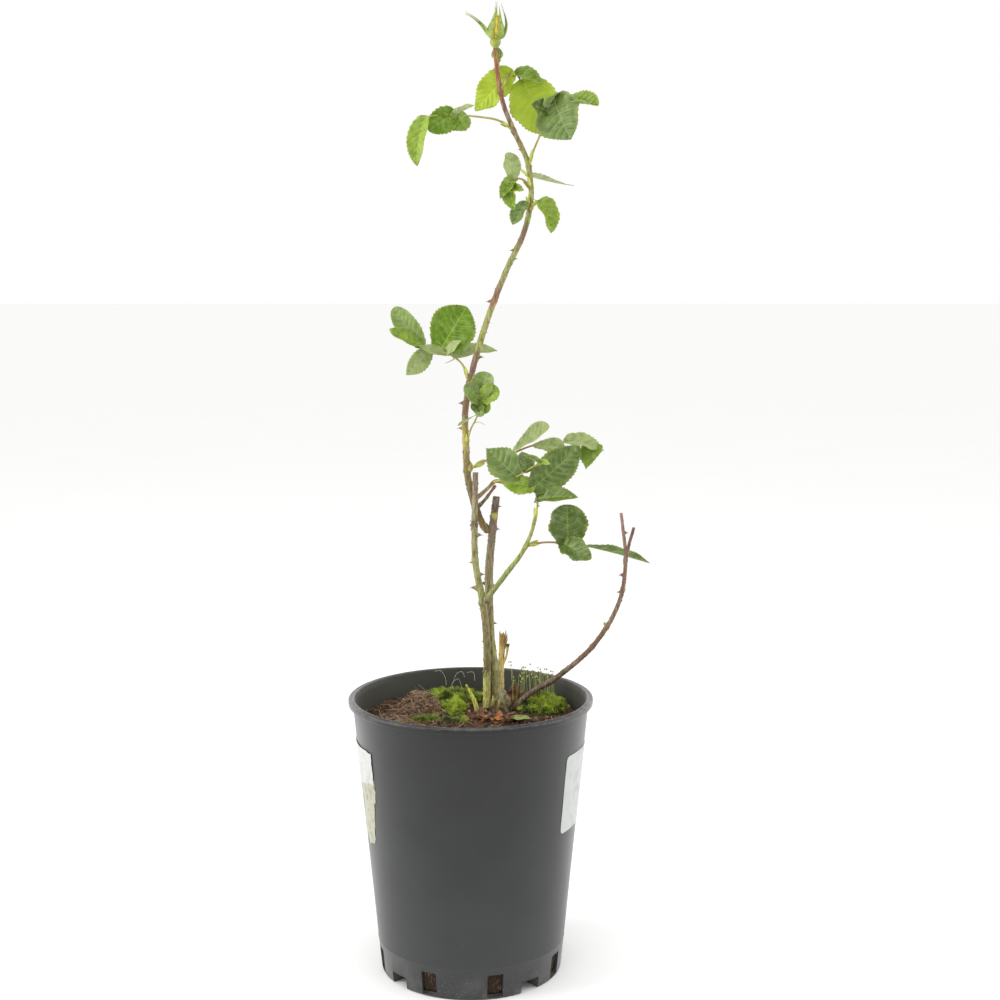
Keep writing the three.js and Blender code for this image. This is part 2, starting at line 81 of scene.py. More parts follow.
class Finish:  # one material, built round a Principled shader
    def __init__(self, name, **fixed):
        self.material = bpy.data.materials.new(name)
        self.material.use_nodes = True
        self.tree = self.material.node_tree
        self.shader = self.tree.nodes["Principled BSDF"]
        self.place = self.node("TexCoord", {}, {}, "Object")
        self.height = self.along("Z")
        for socket, value in fixed.items():
            self.shader.inputs[socket.replace("_", " ")].default_value = value

    def along(self, axis):  # how far along an axis, in millimetres
        return self.node("SeparateXYZ", {}, {0: self.place}, axis) * (1 / mm)

    def node(self, kind, settings, feeds, output=0):
        made = self.tree.nodes.new("ShaderNode" + kind)
        for setting, value in settings.items():
            if setting == "stops":
                self.setStops(made.color_ramp, value)
            else:
                setattr(made, setting, value)
        for socket, value in feeds.items():
            if isinstance(value, Wire):
                self.tree.links.new(value.socket, made.inputs[socket])
            else:
                made.inputs[socket].default_value = value
        return Wire(self, made.outputs[output])

    def setStops(self, ramp, stops):
        while len(ramp.elements) < len(stops):
            ramp.elements.new(1)
        for element, (place, code) in zip(ramp.elements, stops):
            element.position = place
            element.color = colour(code)

    def noise(self, size, detail=3, stretch=(1, 1, 1)):  # size is a blotch's width in millimetres
        at = self.node("Mapping", {}, {"Vector": self.place, "Scale": stretch})
        return self.node("TexNoise", {}, {"Vector": at, "Scale": 1000 / size, "Detail": detail})

    def cells(self, size, feature="F1"):
        return self.node("TexVoronoi", {"feature": feature}, {"Vector": self.place, "Scale": 1000 / size})

    def carried(self, channel):  # a channel of the colour that a leaf's corners carry
        colours = self.node("Attribute", {"attribute_name": "leaf"}, {})
        return self.node("SeparateColor", {}, {0: colours}, channel)

    def blend(self, share, first, second):
        return self.node("Mix", {"data_type": "RGBA"}, {0: share, 6: first, 7: second}, 2)

    def paint(self, wire):
        self.tree.links.new(wire.socket, self.shader.inputs["Base Color"])

    def gloss(self, wire):
        self.tree.links.new(wire.socket, self.shader.inputs["Roughness"])

    def bump(self, height, depth):  # depth in millimetres
        normal = self.node("Bump", {}, {"Strength": 1, "Distance": depth * mm, "Height": height})
        self.tree.links.new(normal.socket, self.shader.inputs["Normal"])


# crease is painted shade in the creases, glint a painted highlight between the veins
leafTones = {"creaseShadePaint": "2c3a10", "highlightPaint": "b9c692", "margin": "a6a84a"}


def leafFinish(name, light, dark, vein, roughness, veinShare=0.5, shine=0.3, paintedLightWeight=1):
    finish = Finish(
        name, Subsurface_Weight=0.1, Subsurface_Scale=0.0015, Subsurface_Radius=(0.6, 1, 0.2),
        Specular_IOR_Level=shine,
    )
    ribs = finish.carried("Red").rise(0.3, 0.95)
    margin = finish.carried("Green").rise(0.86, 1)
    tone = finish.carried("Blue") * 0.5 - 0.25
    blotches = finish.noise(8, 4)
    net = 1 - finish.cells(1.3, "DISTANCE_TO_EDGE").rise(0, 0.16)  # the fine net of small veins
    base = finish.blend((blotches + tone).rise(0.3, 0.7), colour(dark), colour(light))
    paintedLightNoise = finish.noise(4.5, 4)  # painted shade in dark creases and soft painted highlights between the veins
    shadeShare = (1 - paintedLightNoise.rise(0.34, 0.5)) * (0.28 * paintedLightWeight)
    withShadePaint = finish.blend(shadeShare, base, colour(leafTones["creaseShadePaint"]))
    highlightShare = paintedLightNoise.rise(0.48, 0.8) * (0.25 * paintedLightWeight)
    withHighlightPaint = finish.blend(highlightShare, withShadePaint, colour(leafTones["highlightPaint"]))
    netted = finish.blend(net * 0.12, withHighlightPaint, colour(vein))
    ribbed = finish.blend(ribs * veinShare, netted, colour(vein))
    finish.paint(finish.blend(margin * 0.35, ribbed, colour(leafTones["margin"])))
    finish.gloss(blotches * 0.2 + (roughness - 0.1))
    finish.bump(finish.noise(0.5, 2) * 0.3 - net * 0.6, 0.04)
    return finish


barkTones = {"blush": "94705e", "faded": "b3ab8c", "streak": "453b2b", "pore": "c2b793"}


def barkFinish(name, lowest, highest, stops, speck, speckShare=0.5):
    # stops give the bark's colour at heights above the ground, in millimetres
    finish = Finish(name, Specular_IOR_Level=0.3)
    drift = (finish.noise(9, 4) - 0.5) * 22
    level = (finish.height + drift).rise(lowest, highest)
    places = [((height - lowest) / (highest - lowest), code) for height, code in stops]
    tone = finish.node("ValToRGB", {"stops": places}, {0: level})
    streaks = finish.noise(1, 4, (1, 1, 0.14))
    bands = finish.noise(2.2, 4, (1, 1, 0.22))
    specks = finish.noise(2.4, 4, (1, 1, 0.4)).rise(0.54, 0.64)
    pores = 1 - finish.cells(2.1).rise(0.1, 0.2)
    blush = finish.noise(6, 2, (1, 1, 0.1)).rise(0.5, 0.58)  # long strips of pinkish brown
    flushed = finish.blend(blush * 0.3, tone, colour(barkTones["blush"]))
    faded = finish.blend(bands.rise(0.5, 0.66) * 0.45, flushed, colour(barkTones["faded"]))
    shaded = finish.blend(streaks.rise(0.47, 0.64) * 0.6, faded, colour(barkTones["streak"]))
    spotted = finish.blend(specks * speckShare, shaded, colour(speck))
    finish.paint(finish.blend(pores * 0.4, spotted, colour(barkTones["pore"])))
    finish.gloss(streaks * 0.25 + 0.5)
    finish.bump(streaks * 0.9 + finish.noise(0.4, 2) * 0.4 + specks * 0.3 + bands * 0.4, 0.4)
    return finish


def plainFinish(name, light, dark, size, roughness, depth):
    finish = Finish(name)
    spread = finish.noise(size, 4)
    finish.paint(finish.blend(spread.rise(0.35, 0.65), colour(light), colour(dark)))
    finish.gloss(spread * 0.2 + (roughness - 0.1))
    finish.bump(finish.noise(size / 4, 3), depth)
    return finish


potTones = {
    "dark": "1b1c1d",
    "light": "252627",
    "low": "3a3b3b",  # paler near the foot
    "high": "090a0b",  # painted shade: darker under the rim
    "inside": "4a4a42",
    "worn": "8c8783",  # along the rim: worn spots, and painted highlights at its left and right ends
    "scuff": "85847f",
    "dust": "bdbcb4",
}


def potFinish():
    finish = Finish("potPlastic", Specular_IOR_Level=0.42, Sheen_Weight=0.12, Sheen_Roughness=0.4)
    flat = finish.node("VectorMath", {"operation": "MULTIPLY"}, {0: finish.place, 1: (1, 1, 0)})
    radius = finish.node("VectorMath", {"operation": "LENGTH"}, {0: flat}, "Value") * (1 / mm)
    outside = (radius - finish.height * wallSlope - pot["footRadius"]).rise(-1.3, -0.7)
    top, lip = pot["height"], pot["height"] - pot["rimDepth"]
    rimTop = finish.height.rise(top - 2 * pot["rimDip"], top - pot["rimDip"])
    aside = finish.node("Math", {"operation": "ABSOLUTE"}, {0: finish.along("X")})
    rimEndHighlight = aside.rise(66, 97) * finish.height.rise(lip - 1, lip + 1)  # painted highlights at the rim's left and right ends
    cloud = finish.noise(45, 4)
    scuffs = finish.noise(2, 4, (1, 1, 0.3)).rise(0.7, 0.85)
    low = 1 - finish.height.rise(2, 26)
    dust = finish.noise(0.9, 3).rise(0.66, 0.72) * low
    film = finish.noise(16, 4).rise(0.45, 0.8) * low
    worn = finish.noise(6, 5).rise(0.3, 0.75)
    tone = finish.blend(cloud.rise(0.3, 0.7), colour(potTones["dark"]), colour(potTones["light"]))
    dusty = finish.blend((1 - finish.height.rise(0, 130)) * 0.55, tone, colour(potTones["low"]))
    # painted shade: the wall grows darker up towards the rim, which shades it
    shaded = finish.blend(finish.height.rise(120, 225) * 0.8, dusty, colour(potTones["high"]))
    inner = finish.blend((1 - outside) * 0.7, shaded, colour(potTones["inside"]))
    # worn spots on the rim's top, and painted highlights at the rim's left and right ends
    pale = rimTop * worn * 0.22 + rimEndHighlight * (worn * 0.2 + 0.16)
    edge = finish.blend(pale, inner, colour(potTones["worn"]))
    scuffed = finish.blend(scuffs * 0.12 + film * 0.34, edge, colour(potTones["scuff"]))
    finish.paint(finish.blend(dust * 0.7, scuffed, colour(potTones["dust"])))
    finish.gloss(cloud * 0.16 + 0.24 + dust * 0.3 + (1 - outside) * 0.25 - rimTop * 0.1)
    finish.bump(finish.noise(0.8, 3) * 0.5 + scuffs * 0.2, 0.04)
    return finish


soilTones = {"dark": "3a2a1f", "light": "584231", "deep": "1d1915", "root": "84705a"}


def soilFinish():
    finish = Finish("soilEarth", Roughness=0.95, Specular_IOR_Level=0.2)
    clods = finish.noise(6, 5)
    roots = finish.noise(1.2, 5, (1, 1, 0.3)).rise(0.56, 0.66)
    deep = 1 - finish.height.rise(150, 200)  # the root ball is darker than the top
    tone = finish.blend(clods.rise(0.35, 0.65), colour(soilTones["dark"]), colour(soilTones["light"]))
    damp = finish.blend(deep * 0.75, tone, colour(soilTones["deep"]))
    finish.paint(finish.blend(roots * 0.5, damp, colour(soilTones["root"])))
    finish.bump(clods * 0.6 + finish.cells(1.4) * 0.6 + roots * 0.3, 0.9)
    return finish


def filmFinish(name, clean, worn, share, size=9):
    finish = Finish(name, Specular_IOR_Level=0.4)
    wear = finish.noise(size, 5).rise(0.5, 0.72)
    finish.paint(finish.blend(wear * share, colour(clean), colour(worn)))
    finish.gloss(wear * 0.25 + 0.4)
    finish.bump(finish.noise(12, 3) * 0.7 + finish.noise(1, 2) * 0.1, 0.25)
    return finish


plainShades = {  # light and dark colour, a blotch's width in millimetres, roughness, depth of the bumps
    "brownDry": ("8a5f3e", "563b29", 3, 0.8, 0.3),
    "brownDryUnder": ("a17e5c", "6f5036", 3, 0.85, 0.3),
    "orangeDry": ("bd7a45", "8a5a36", 3, 0.75, 0.3),
    "orangeDryUnder": ("b98a5c", "8f6240", 4, 0.8, 0.3),
    "stalkGreen": ("a5a74c", "8f8244", 7, 0.5, 0.05),
    "stalkRed": ("96653f", "8a8446", 9, 0.5, 0.05),
    "thornRed": ("8f6450", "6f4c3c", 2, 0.45, 0.05),
    "thornPale": ("a97d68", "8d6452", 2, 0.5, 0.05),
    "cutWood": ("8a7458", "5b4a3a", 1.2, 0.9, 0.25),
    "pith": ("c2b08a", "9d8862", 0.8, 0.9, 0.2),
    "darkKnob": ("78703c", "4e442a", 1, 0.8, 0.2),
    "sepalGreen": ("93a23c", "75893a", 3, 0.5, 0.06),
    "hipGreen": ("989f40", "82903a", 4, 0.42, 0.03),
    "petalYellow": ("e6cf3e", "dd9a2c", 3.2, 0.5, 0.05),
    "mossBright": ("b2c43a", "99ad30", 4, 0.8, 0.1),
    "mossMid": ("84962f", "6e8026", 4, 0.8, 0.1),
    "mossDark": ("4f5c20", "38421a", 4, 0.9, 0.2),
    "crumbDark": ("3f2e22", "2c2018", 1, 0.95, 0.2),
    "crumbBrown": ("6b4e38", "4f3828", 1, 0.95, 0.2),
    "crumbRust": ("8e6a50", "694c38", 1, 0.9, 0.2),
    "crumbPale": ("b8a486", "927c5e", 1, 0.9, 0.2),
    "threadWhite": ("d8d6c8", "b9b5a0", 1, 0.7, 0.02),
    "capsuleStalk": ("b9c566", "97a84e", 3, 0.6, 0.02),
}
plain = {name: plainFinish(name, *shades) for name, shades in plainShades.items()}

# the upper and the under side's light, dark and vein colours and roughness, then the shares of the veins,
# of the shine and of the painted shade and highlights where they differ from leafFinish's own
leafShades = {
    "backlit": (
        ("a0b024", "90a620", "bcc952", 0.5, 0.35, 0.3, 0.25),
        ("a6ba36", "95aa2e", "bcc952", 0.6, 0.35, 0.3, 0.25),
    ),
    "fresh": (("849c30", "688222", "aebe5c", 0.36), ("809b4e", "6e8943", "a1b36c", 0.6)),
    "deep": (("5a7124", "46591a", "8fa24e", 0.34, 0.6, 0.4), ("7b925a", "69814c", "96a86c", 0.6)),
    "rich": (("5c7b1a", "476214", "9cb04e", 0.5, 0.65, 0.15), ("7f9750", "6c8544", "9fb06a", 0.6)),
    "grey": (("6f843a", "596f2f", "a2b06e", 0.42, 0.6, 0.4), ("889d66", "758b54", "a4b27e", 0.62, 0.65)),
    "pale": (("98a56c", "869357", "b4bd88", 0.5), ("a0aa7c", "8d9968", "b9c19a", 0.65)),
    "stipule": (("b9bf4a", "9fa63c", "c9c96a", 0.5, 0.3), ("b9bf5c", "a0ab4c", "c9c96a", 0.5, 0.3)),
}
leafLooks = {
    name: {"upper": leafFinish(name + "Upper", *upper), "under": leafFinish(name + "Under", *under)}
    for name, (upper, under) in leafShades.items()
}
for name in ("brown", "orange"):
    leafLooks[name] = {"upper": plain[name + "Dry"], "under": plain[name + "DryUnder"]}

stickerFilm = filmFinish("stickerFilm", "b2b5b2", "a2a5a0", 0.6)
tornFilm = filmFinish("tornFilm", "b9b9b6", "9a9b84", 0.5)
tornPaper = filmFinish("tornPaper", "a0a08c", "74755c", 0.8, 5)


# Shapes that many pieces share

def heading(turn, rise=0):  # turn is from +X towards +Y and rise above the horizon, in degrees
    flat = math.cos(math.radians(rise))
    return Vector((
        math.cos(math.radians(turn)) * flat,
        math.sin(math.radians(turn)) * flat,
        math.sin(math.radians(rise)),
    ))


def lift(height):
    return Vector((0, 0, height))


def smoothRoute(points, step):  # an even run of points on a centripetal spline through the given ones
    through = [Vector(point) for point in points]
    through = [through[0] * 2 - through[1], *through, through[-1] * 2 - through[-2]]
    fine = []
    for before, start, end, after in zip(through, through[1:], through[2:], through[3:]):
        first = (start - before).length ** 0.5
        middle = (end - start).length ** 0.5
        last = (after - end).length ** 0.5
        leave = (start - before) / first - (end - before) / (first + middle) + (end - start) / middle
        arrive = (end - start) / middle - (after - start) / (middle + last) + (after - end) / last
        for t in np.linspace(0, 1, 24, endpoint=False):
            fine.append(
                start * (2 * t**3 - 3 * t**2 + 1) + leave * middle * (t**3 - 2 * t**2 + t)
                + end * (3 * t**2 - 2 * t**3) + arrive * middle * (t**3 - t**2)
            )
    fine.append(through[-2])
    return spaced(fine, step)


def spaced(points, step):  # the same line, cut into even steps
    table = np.array(points, float)
    runs = np.concatenate([[0], np.cumsum(np.linalg.norm(np.diff(table, axis=0), axis=1))])
    count = max(2, round(runs[-1] / step))
    at = np.linspace(0, runs[-1], count + 1)
    return [Vector(row) for row in np.stack([np.interp(at, runs, table[:, k]) for k in range(3)], 1)]


def pointAt(route, share):
    return route[round(share * (len(route) - 1))]


def level(route, height):  # the route's point nearest to a height
    return min(route, key=lambda point: abs(point.z - height))


def faceOutwards(bm):
    bmesh.ops.recalc_face_normals(bm, faces=bm.faces[:])


def weld(bm, distance=1e-4):
    bmesh.ops.remove_doubles(bm, verts=bm.verts[:], dist=distance)


def closeHoles(bm):
    return bmesh.ops.holes_fill(bm, edges=[edge for edge in bm.edges if edge.is_boundary], sides=0)["faces"]


def sliceAcross(bm, normal, places):  # cuts through every face, at these places along the normal
    for place in places:
        everything = bm.verts[:] + bm.edges[:] + bm.faces[:]
        at = [float(place) * part for part in normal]
        bmesh.ops.bisect_plane(bm, geom=everything, plane_co=at, plane_no=normal)


def asMesh(bm, name):
    mesh = bpy.data.meshes.new(name)
    bm.to_mesh(mesh)
    bm.free()
    return mesh


def addObject(name, data):
    made = bpy.data.objects.new(name, data)
    bpy.context.scene.collection.objects.link(made)
    return made


def pour(source, target):  # turns one bmesh's faces outwards and moves it into another
    faceOutwards(source)
    mesh = asMesh(source, "poured")
    target.from_mesh(mesh)
    bpy.data.meshes.remove(mesh)


def ringGrid(around, along, place, gap=1e-4):  # place gives a corner from a share of the length and a turn
    bm = bmesh.new()
    bmesh.ops.create_grid(bm, x_segments=around, y_segments=along, size=0.5)
    for vert in bm.verts:
        vert.co = place(vert.co.y + 0.5, (vert.co.x + 0.5) * math.tau)
    weld(bm, gap)
    return bm


def taper(foot, loss, thick=1):  # a tube's radius, less by loss at its tip
    return lambda share, turn, point: thick * (foot - loss * share)


def bulge(base, size, start, run):  # a tube's radius that follows a stretch of a sine
    return lambda share, turn, point: base + size * math.sin(math.pi * (start + run * share))


def growTube(target, route, radiusAt, sides, number=0, cut=None, pithNumber=None):
    # radiusAt takes a share of the length, a turn and the axis point; cut is the tip face's finish
    last = len(route) - 1
    rings = []
    side = None
    for i, point in enumerate(route):
        ahead = (route[min(i + 1, last)] - route[max(i - 1, 0)]).normalized()
        side = ahead.orthogonal() if side is None else side
        side = (side - ahead * side.dot(ahead)).normalized()
        rings.append((point, side, ahead.cross(side)))

    def place(share, turn):
        ring = round(share * last)
        point, across, over = rings[ring]
        reach = radiusAt(ring / last, turn, point)
        return point + (across * math.cos(turn) + over * math.sin(turn)) * reach

    bm = ringGrid(sides, last, place)
    for face in bm.faces:
        face.material_index = number
    caps = closeHoles(bm)
    if cut is not None:  # a sunken ring round a slightly raised middle
        tip = min(caps, key=lambda face: (face.calc_center_median() - route[-1]).length)
        tip.material_index = cut
        width = math.sqrt(tip.calc_area() / math.pi)
        rim = bmesh.ops.inset_region(bm, faces=[tip], thickness=width * 0.18, depth=-width * 0.06)
        bmesh.ops.inset_region(bm, faces=[tip], thickness=width * 0.4, depth=width * 0.04)
        for face in rim["faces"]:
            face.material_index = number
        if pithNumber is not None:
            tip.material_index = pithNumber
    pour(bm, target)


def growSheet(target, rows, columns, place, upper, lower, shade=None):
    # a thin closed sheet: place gives a grid corner's upper and lower point, the next two a face's finish,
    # and shade the colour that a corner carries
    bm = bmesh.new()
    bmesh.ops.create_grid(bm, x_segments=columns, y_segments=rows, size=0.5)
    corner = bm.verts.layers.int.new("corner")
    carried = bm.verts.layers.float_color.new("leaf")
    points = []
    for vert in bm.verts:
        row = round((vert.co.y + 0.5) * rows)
        column = round((vert.co.x + 0.5) * columns)
        vert[corner] = len(points)
        vert[carried] = shade(row, column) if shade else (0, 0, 0.5, 1)
        points.append(place(row, column))
    for vert in bm.verts:
        vert.co = points[vert[corner]][0]
    grown = bmesh.ops.extrude_face_region(bm, geom=bm.faces[:], use_keep_orig=True)["geom"]
    under = {item for item in grown if isinstance(item, bmesh.types.BMFace)}
    for item in grown:
        if isinstance(item, bmesh.types.BMVert):
            item.co = points[item[corner]][1]
    for face in bm.faces:
        face.material_index = lower if face in under else upper
    bm.verts.layers.int.remove(corner)
    pour(bm, target)


def lathe(outline, steps):  # a closed turned shape from [radius, height] pairs that start and end on the axis
    bm = bmesh.new()
    verts = [bm.verts.new((radius, 0, height)) for radius, height in outline]
    edges = [bm.edges.new(pair) for pair in zip(verts, verts[1:])]
    bmesh.ops.spin(
        bm, geom=verts + edges, cent=(0, 0, 0), axis=(0, 0, 1), angle=math.tau, steps=steps, use_merge=True
    )
    weld(bm)
    faceOutwards(bm)
    return bm


def arc(x, z, radius, start, end, steps=4):  # points round a corner of an outline, angles in degrees
    angles = [math.radians(start + (end - start) * i / steps) for i in range(steps + 1)]
    return [(x + radius * math.cos(angle), z + radius * math.sin(angle)) for angle in angles]


def makePiece(bm, name, finishes, slot, nodes=(), sharpAngle=None):
    return placePiece(asMesh(bm, name), name, finishes, slot, nodes, sharpAngle)


def placePiece(mesh, name, finishes, slot, nodes=(), sharpAngle=None):
    mesh.transform(Matrix.Scale(mm, 4))
    mesh.polygons.foreach_set("use_smooth", [True] * len(mesh.polygons))
    if sharpAngle is not None:
        mesh.set_sharp_from_angle(angle=math.radians(sharpAngle))
    for finish in finishes:
        mesh.materials.append(finish.material)
    piece = addObject(name, mesh)
    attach(piece, "root")
    if nodes:
        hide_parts(*nodes)
    return piece


def carve(body, cutters):  # cuts shapes out of a shape, and gives the result as a mesh
    stock = looseObject(body, "stock")
    tools = [looseObject(cutter, "cutter") for cutter in cutters]
    for tool in tools:
        cut = stock.modifiers.new("cut", "BOOLEAN")
        cut.object = tool
        cut.operation = "DIFFERENCE"
        cut.solver = "EXACT"
    graph = bpy.context.evaluated_depsgraph_get()
    mesh = bpy.data.meshes.new_from_object(stock.evaluated_get(graph))
    for spare in [stock, *tools]:
        bpy.data.objects.remove(spare)
    return mesh


def looseObject(shape, name):  # shape is a bmesh or a mesh
    return addObject(name, asMesh(shape, name) if isinstance(shape, bmesh.types.BMesh) else shape)


def bar(length, width, height, middle, turn, edge):  # a box with rounded edges, turned round the Z axis
    bm = bmesh.new()
    bmesh.ops.create_cube(bm, size=1, matrix=Matrix.Diagonal((length, width, height, 1)))
    bmesh.ops.bevel(
        bm, geom=bm.edges[:], offset=edge, affect="EDGES", segments=3, profile=0.5, material=-1
    )
    bmesh.ops.translate(bm, verts=bm.verts[:], vec=middle)
    bmesh.ops.rotate(
        bm, verts=bm.verts[:], cent=(0, 0, 0), matrix=Matrix.Rotation(math.radians(turn), 3, "Z")
    )
    return bm


# Many small things are copies of one little shape, joined from arrays

def littleShape(build):
    bm = bmesh.new()
    build(bm)
    bmesh.ops.triangulate(bm, faces=bm.faces[:])
    faceOutwards(bm)
    points = np.array([vert.co[:] for vert in bm.verts])
    faces = np.array([[vert.index for vert in face.verts] for face in bm.faces])
    bm.free()
    return points, faces


def dealCopies(name, shapes, places, slot, finishes, nodes=()):
    # places are (shape number, finish number, matrix)
    points, faces, numbers = [], [], []
    start = 0
    for shape, finish, matrix in places:
        corners, sides = shapes[shape]
        table = np.array(matrix)
        points.append(corners @ table[:3, :3].T + table[:3, 3])
        faces.append(sides + start)
        numbers.append(np.full(len(sides), finish))
        start += len(corners)
    mesh = bpy.data.meshes.new(name)
    mesh.from_pydata(np.concatenate(points).tolist(), [], np.concatenate(faces).tolist())
    mesh.polygons.foreach_set("material_index", np.concatenate(numbers).astype(np.int32))
    return placePiece(mesh, name, finishes, slot, nodes)


def turnedTo(direction, size, at, spin=0):  # a matrix that stands a shape's Z axis along a direction
    turn = direction.to_track_quat("Z", "Y").to_matrix().to_4x4() @ Matrix.Rotation(spin, 4, "Z")
    return Matrix.Translation(at) @ turn @ Matrix.Diagonal((*size, 1))


# Pot

pot = {
    "height": 229,
    "rimRadius": 100,
    "rimDepth": 5,
    "rimThick": 1.8,
    "rimCorner": 0.8,
    "rimDip": 1.2,  # from the bead down to the rim's flat top
    "beadRadius": 1,  # the round bead along the rim's inner edge
    "wallTopRadius": 96.3,  # outside, at the rim's lower edge
    "footRadius": 74.8,
    "footCorner": 1.5,
    "innerCorner": 3,  # between the wall and the floor
    "wall": 2,
    "floor": 2.5,
    "ringHeight": 27,  # the faint mould line round the foot
    "ringProud": 0.3,
    "steps": 168,
}
feet = {
    "count": 4,
    "heading": -95,
    "channelWidth": 18,
    "channelHeight": 10,
    "channelStart": 25,
    "channelCorner": 1.5,
    "slotSpread": 20.5,
    "slotWidth": 13,
    "slotLow": 1.5,
    "slotHigh": 21,
    "slotCorner": 0.8,
}
soilTop = 210
wallSlope = (pot["wallTopRadius"] - pot["footRadius"]) / (pot["height"] - pot["rimDepth"])


def wallRadius(height):
    return pot["footRadius"] + wallSlope * height


def potOutline():
    top, rim, thick = pot["height"], pot["rimRadius"], pot["rimThick"]
    foot, corner = pot["footCorner"], pot["rimCorner"]
    under = top - thick
    lip = top - pot["rimDepth"]
    ring = pot["ringHeight"]
    bead = wallRadius(top) - pot["wall"] + pot["beadRadius"]
    return [
        (0, 0),
        *arc(pot["footRadius"] - foot, foot, foot, -90, 0),
        (wallRadius(ring - 0.6), ring - 0.6),
        (wallRadius(ring) + pot["ringProud"], ring),
        (wallRadius(ring + 1.4), ring + 1.4),
        (wallRadius(under - 0.8), under - 0.8),
        (wallRadius(under) + 0.3, under),
        (rim - thick - 0.5, under),
        (rim - thick, under - 0.5),
        *arc(rim - thick / 2, lip + thick / 2, thick / 2, 180, 360, 6),
        *arc(rim - corner, top - 1.5, corner, 0, 110),
        (rim - 2, top - pot["rimDip"]),
        (bead + 1.6, top - pot["rimDip"]),
        *arc(bead, top - pot["beadRadius"], pot["beadRadius"], 40, 160, 5),
        (0, top - 1.4),
    ]


def hollowOutline(clearance=0, top=pot["height"] + 2):  # the room inside the wall, less a clearance
    low, corner = pot["floor"] + clearance, pot["innerCorner"]

    def inner(height):
        return wallRadius(height) - pot["wall"] - clearance

    return [
        (0, low),
        (inner(low) - corner, low),
        *arc(inner(low + corner) - corner, low + corner, corner, -80, 0),
        (inner(top), top),
        (0, top),
    ]


def channelBars(grow):
    length = pot["rimRadius"] - feet["channelStart"] + 2 * grow
    height = 2 * (feet["channelHeight"] + grow)
    middle = (feet["channelStart"] - grow + length / 2, 0, 0)
    width = feet["channelWidth"] + 2 * grow
    turns = [feet["heading"] + 360 / feet["count"] * (i + 0.5) for i in range(feet["count"])]
    return [bar(length, width, height, middle, turn, feet["channelCorner"] + grow) for turn in turns]


def slotBars():
    height = feet["slotHigh"] - feet["slotLow"]
    middle = (pot["footRadius"], 0, (feet["slotHigh"] + feet["slotLow"]) / 2)
    turns = [
        feet["heading"] + 360 / feet["count"] * i + side * feet["slotSpread"]
        for i in range(feet["count"]) for side in (-1, 1)
    ]
    length, width = 4 * pot["wall"], feet["slotWidth"]
    return [bar(length, width, height, middle, turn, feet["slotCorner"]) for turn in turns]


def makePot():
    hollow = carve(lathe(hollowOutline(), pot["steps"]), channelBars(pot["floor"]))
    mesh = carve(lathe(potOutline(), pot["steps"]), [hollow, *channelBars(0), *slotBars()])
    placePiece(mesh, "nurseryPot", [potFinish()], "pot_plastic", ["pot"], sharpAngle=28)
    print("pot:", len(mesh.polygons), "faces")


makePot()


# Soil and what lies on it

soil = {
    "clearance": 0.4,  # to the pot
    "rings": 46,  # on the top
    "sideStep": 2.6,  # between rings on the side
    "around": 180,
    "lumps": ((0.05, 2.2), (0.16, 1.3), (0.5, 0.6)),  # how close they lie and how high they stand
}


def soilHeight(x, y):
    at = Vector((x, y, 0))
    return soilTop - 0.6 + sum(noise.noise(at * close) * high for close, high in soil["lumps"])


def makeSoil():
    outline = hollowOutline(soil["clearance"], soilTop)[1:-1]
    side = spaced([Vector((radius, 0, height)) for radius, height in reversed(outline)], soil["sideStep"])
    edge = side[0].x
    profile = [(edge * i / soil["rings"], None) for i in range(soil["rings"])]
    profile += [(point.x, point.z) for point in side[1:]]
    profile += [(side[-1].x * share, side[-1].z) for share in (0.8, 0.6, 0.4, 0.2, 0)]
    last = len(profile) - 1

    def place(share, turn):
        radius, height = profile[round(share * last)]
        x, y = radius * math.cos(turn), radius * math.sin(turn)
        if height is None:
            return (x, y, soilHeight(x, y))
        dent = 1 - max(0, noise.noise(Vector((x, y, height)) * 0.35)) * 0.02
        return (x * dent, y * dent, height)

    bm = ringGrid(soil["around"], last, place, 1e-3)
    faceOutwards(bm)
    mesh = carve(bm, channelBars(pot["floor"] + soil["clearance"]))
    placePiece(mesh, "pottingSoil", [soilFinish()], "soil", ["soil"])
    print("soil:", len(mesh.polygons), "faces")


makeSoil()

# sun sets how much painted light or shade a bed's shoots get
mossBeds = {
    "mossRight": {"node": "moss_right", "at": (59, 33), "size": (40, 48, 9), "sun": 0.05},
    "mossBack": {"node": "moss_back", "at": (-16, 62), "size": (56, 34, 7), "sun": -0.3},
    "mossLeft": {"node": "moss_left", "at": (-15, 24), "size": (22, 32, 7), "sun": 0.25},
    "mossFront": {"node": "moss_front", "at": (-38, -6), "size": (20, 16, 4), "sun": -0.3},
    "mossNear": {"node": "moss_near", "at": (-14, -9), "size": (22, 14, 4), "sun": -0.25},
}


def bedHeight(bed, x, y):  # how high a moss cushion stands over the soil, None outside it
    (midX, midY), (wide, deep, high) = bed["at"], bed["size"]
    reach = math.hypot((x - midX) / wide, (y - midY) / deep) * 2
    edge = 1 + noise.noise(Vector((x, y, 7)) * 0.14) * 0.3
    if reach > edge:
        return None
    lumps = 1 + noise.noise(Vector((x, y, 3)) * 0.16) * 0.7
    return high * math.sqrt(1 - (reach / edge) ** 2) * lumps


def crumbShape(bm):
    bmesh.ops.create_icosphere(bm, subdivisions=1, radius=0.5)
    for vert in bm.verts:
        vert.co *= 1 + noise.noise(vert.co * 3) * 0.7


def flakeShape(bm):
    bmesh.ops.create_cube(bm, size=1, matrix=Matrix.Diagonal((1.6, 0.7, 0.25, 1)))
    bmesh.ops.bevel(bm, geom=bm.edges[:], offset=0.08, affect="EDGES", segments=1, profile=0.5, material=-1)
    for vert in bm.verts:
        vert.co.z += vert.co.x**2 * 0.2
        vert.co.y += vert.co.x * 0.1


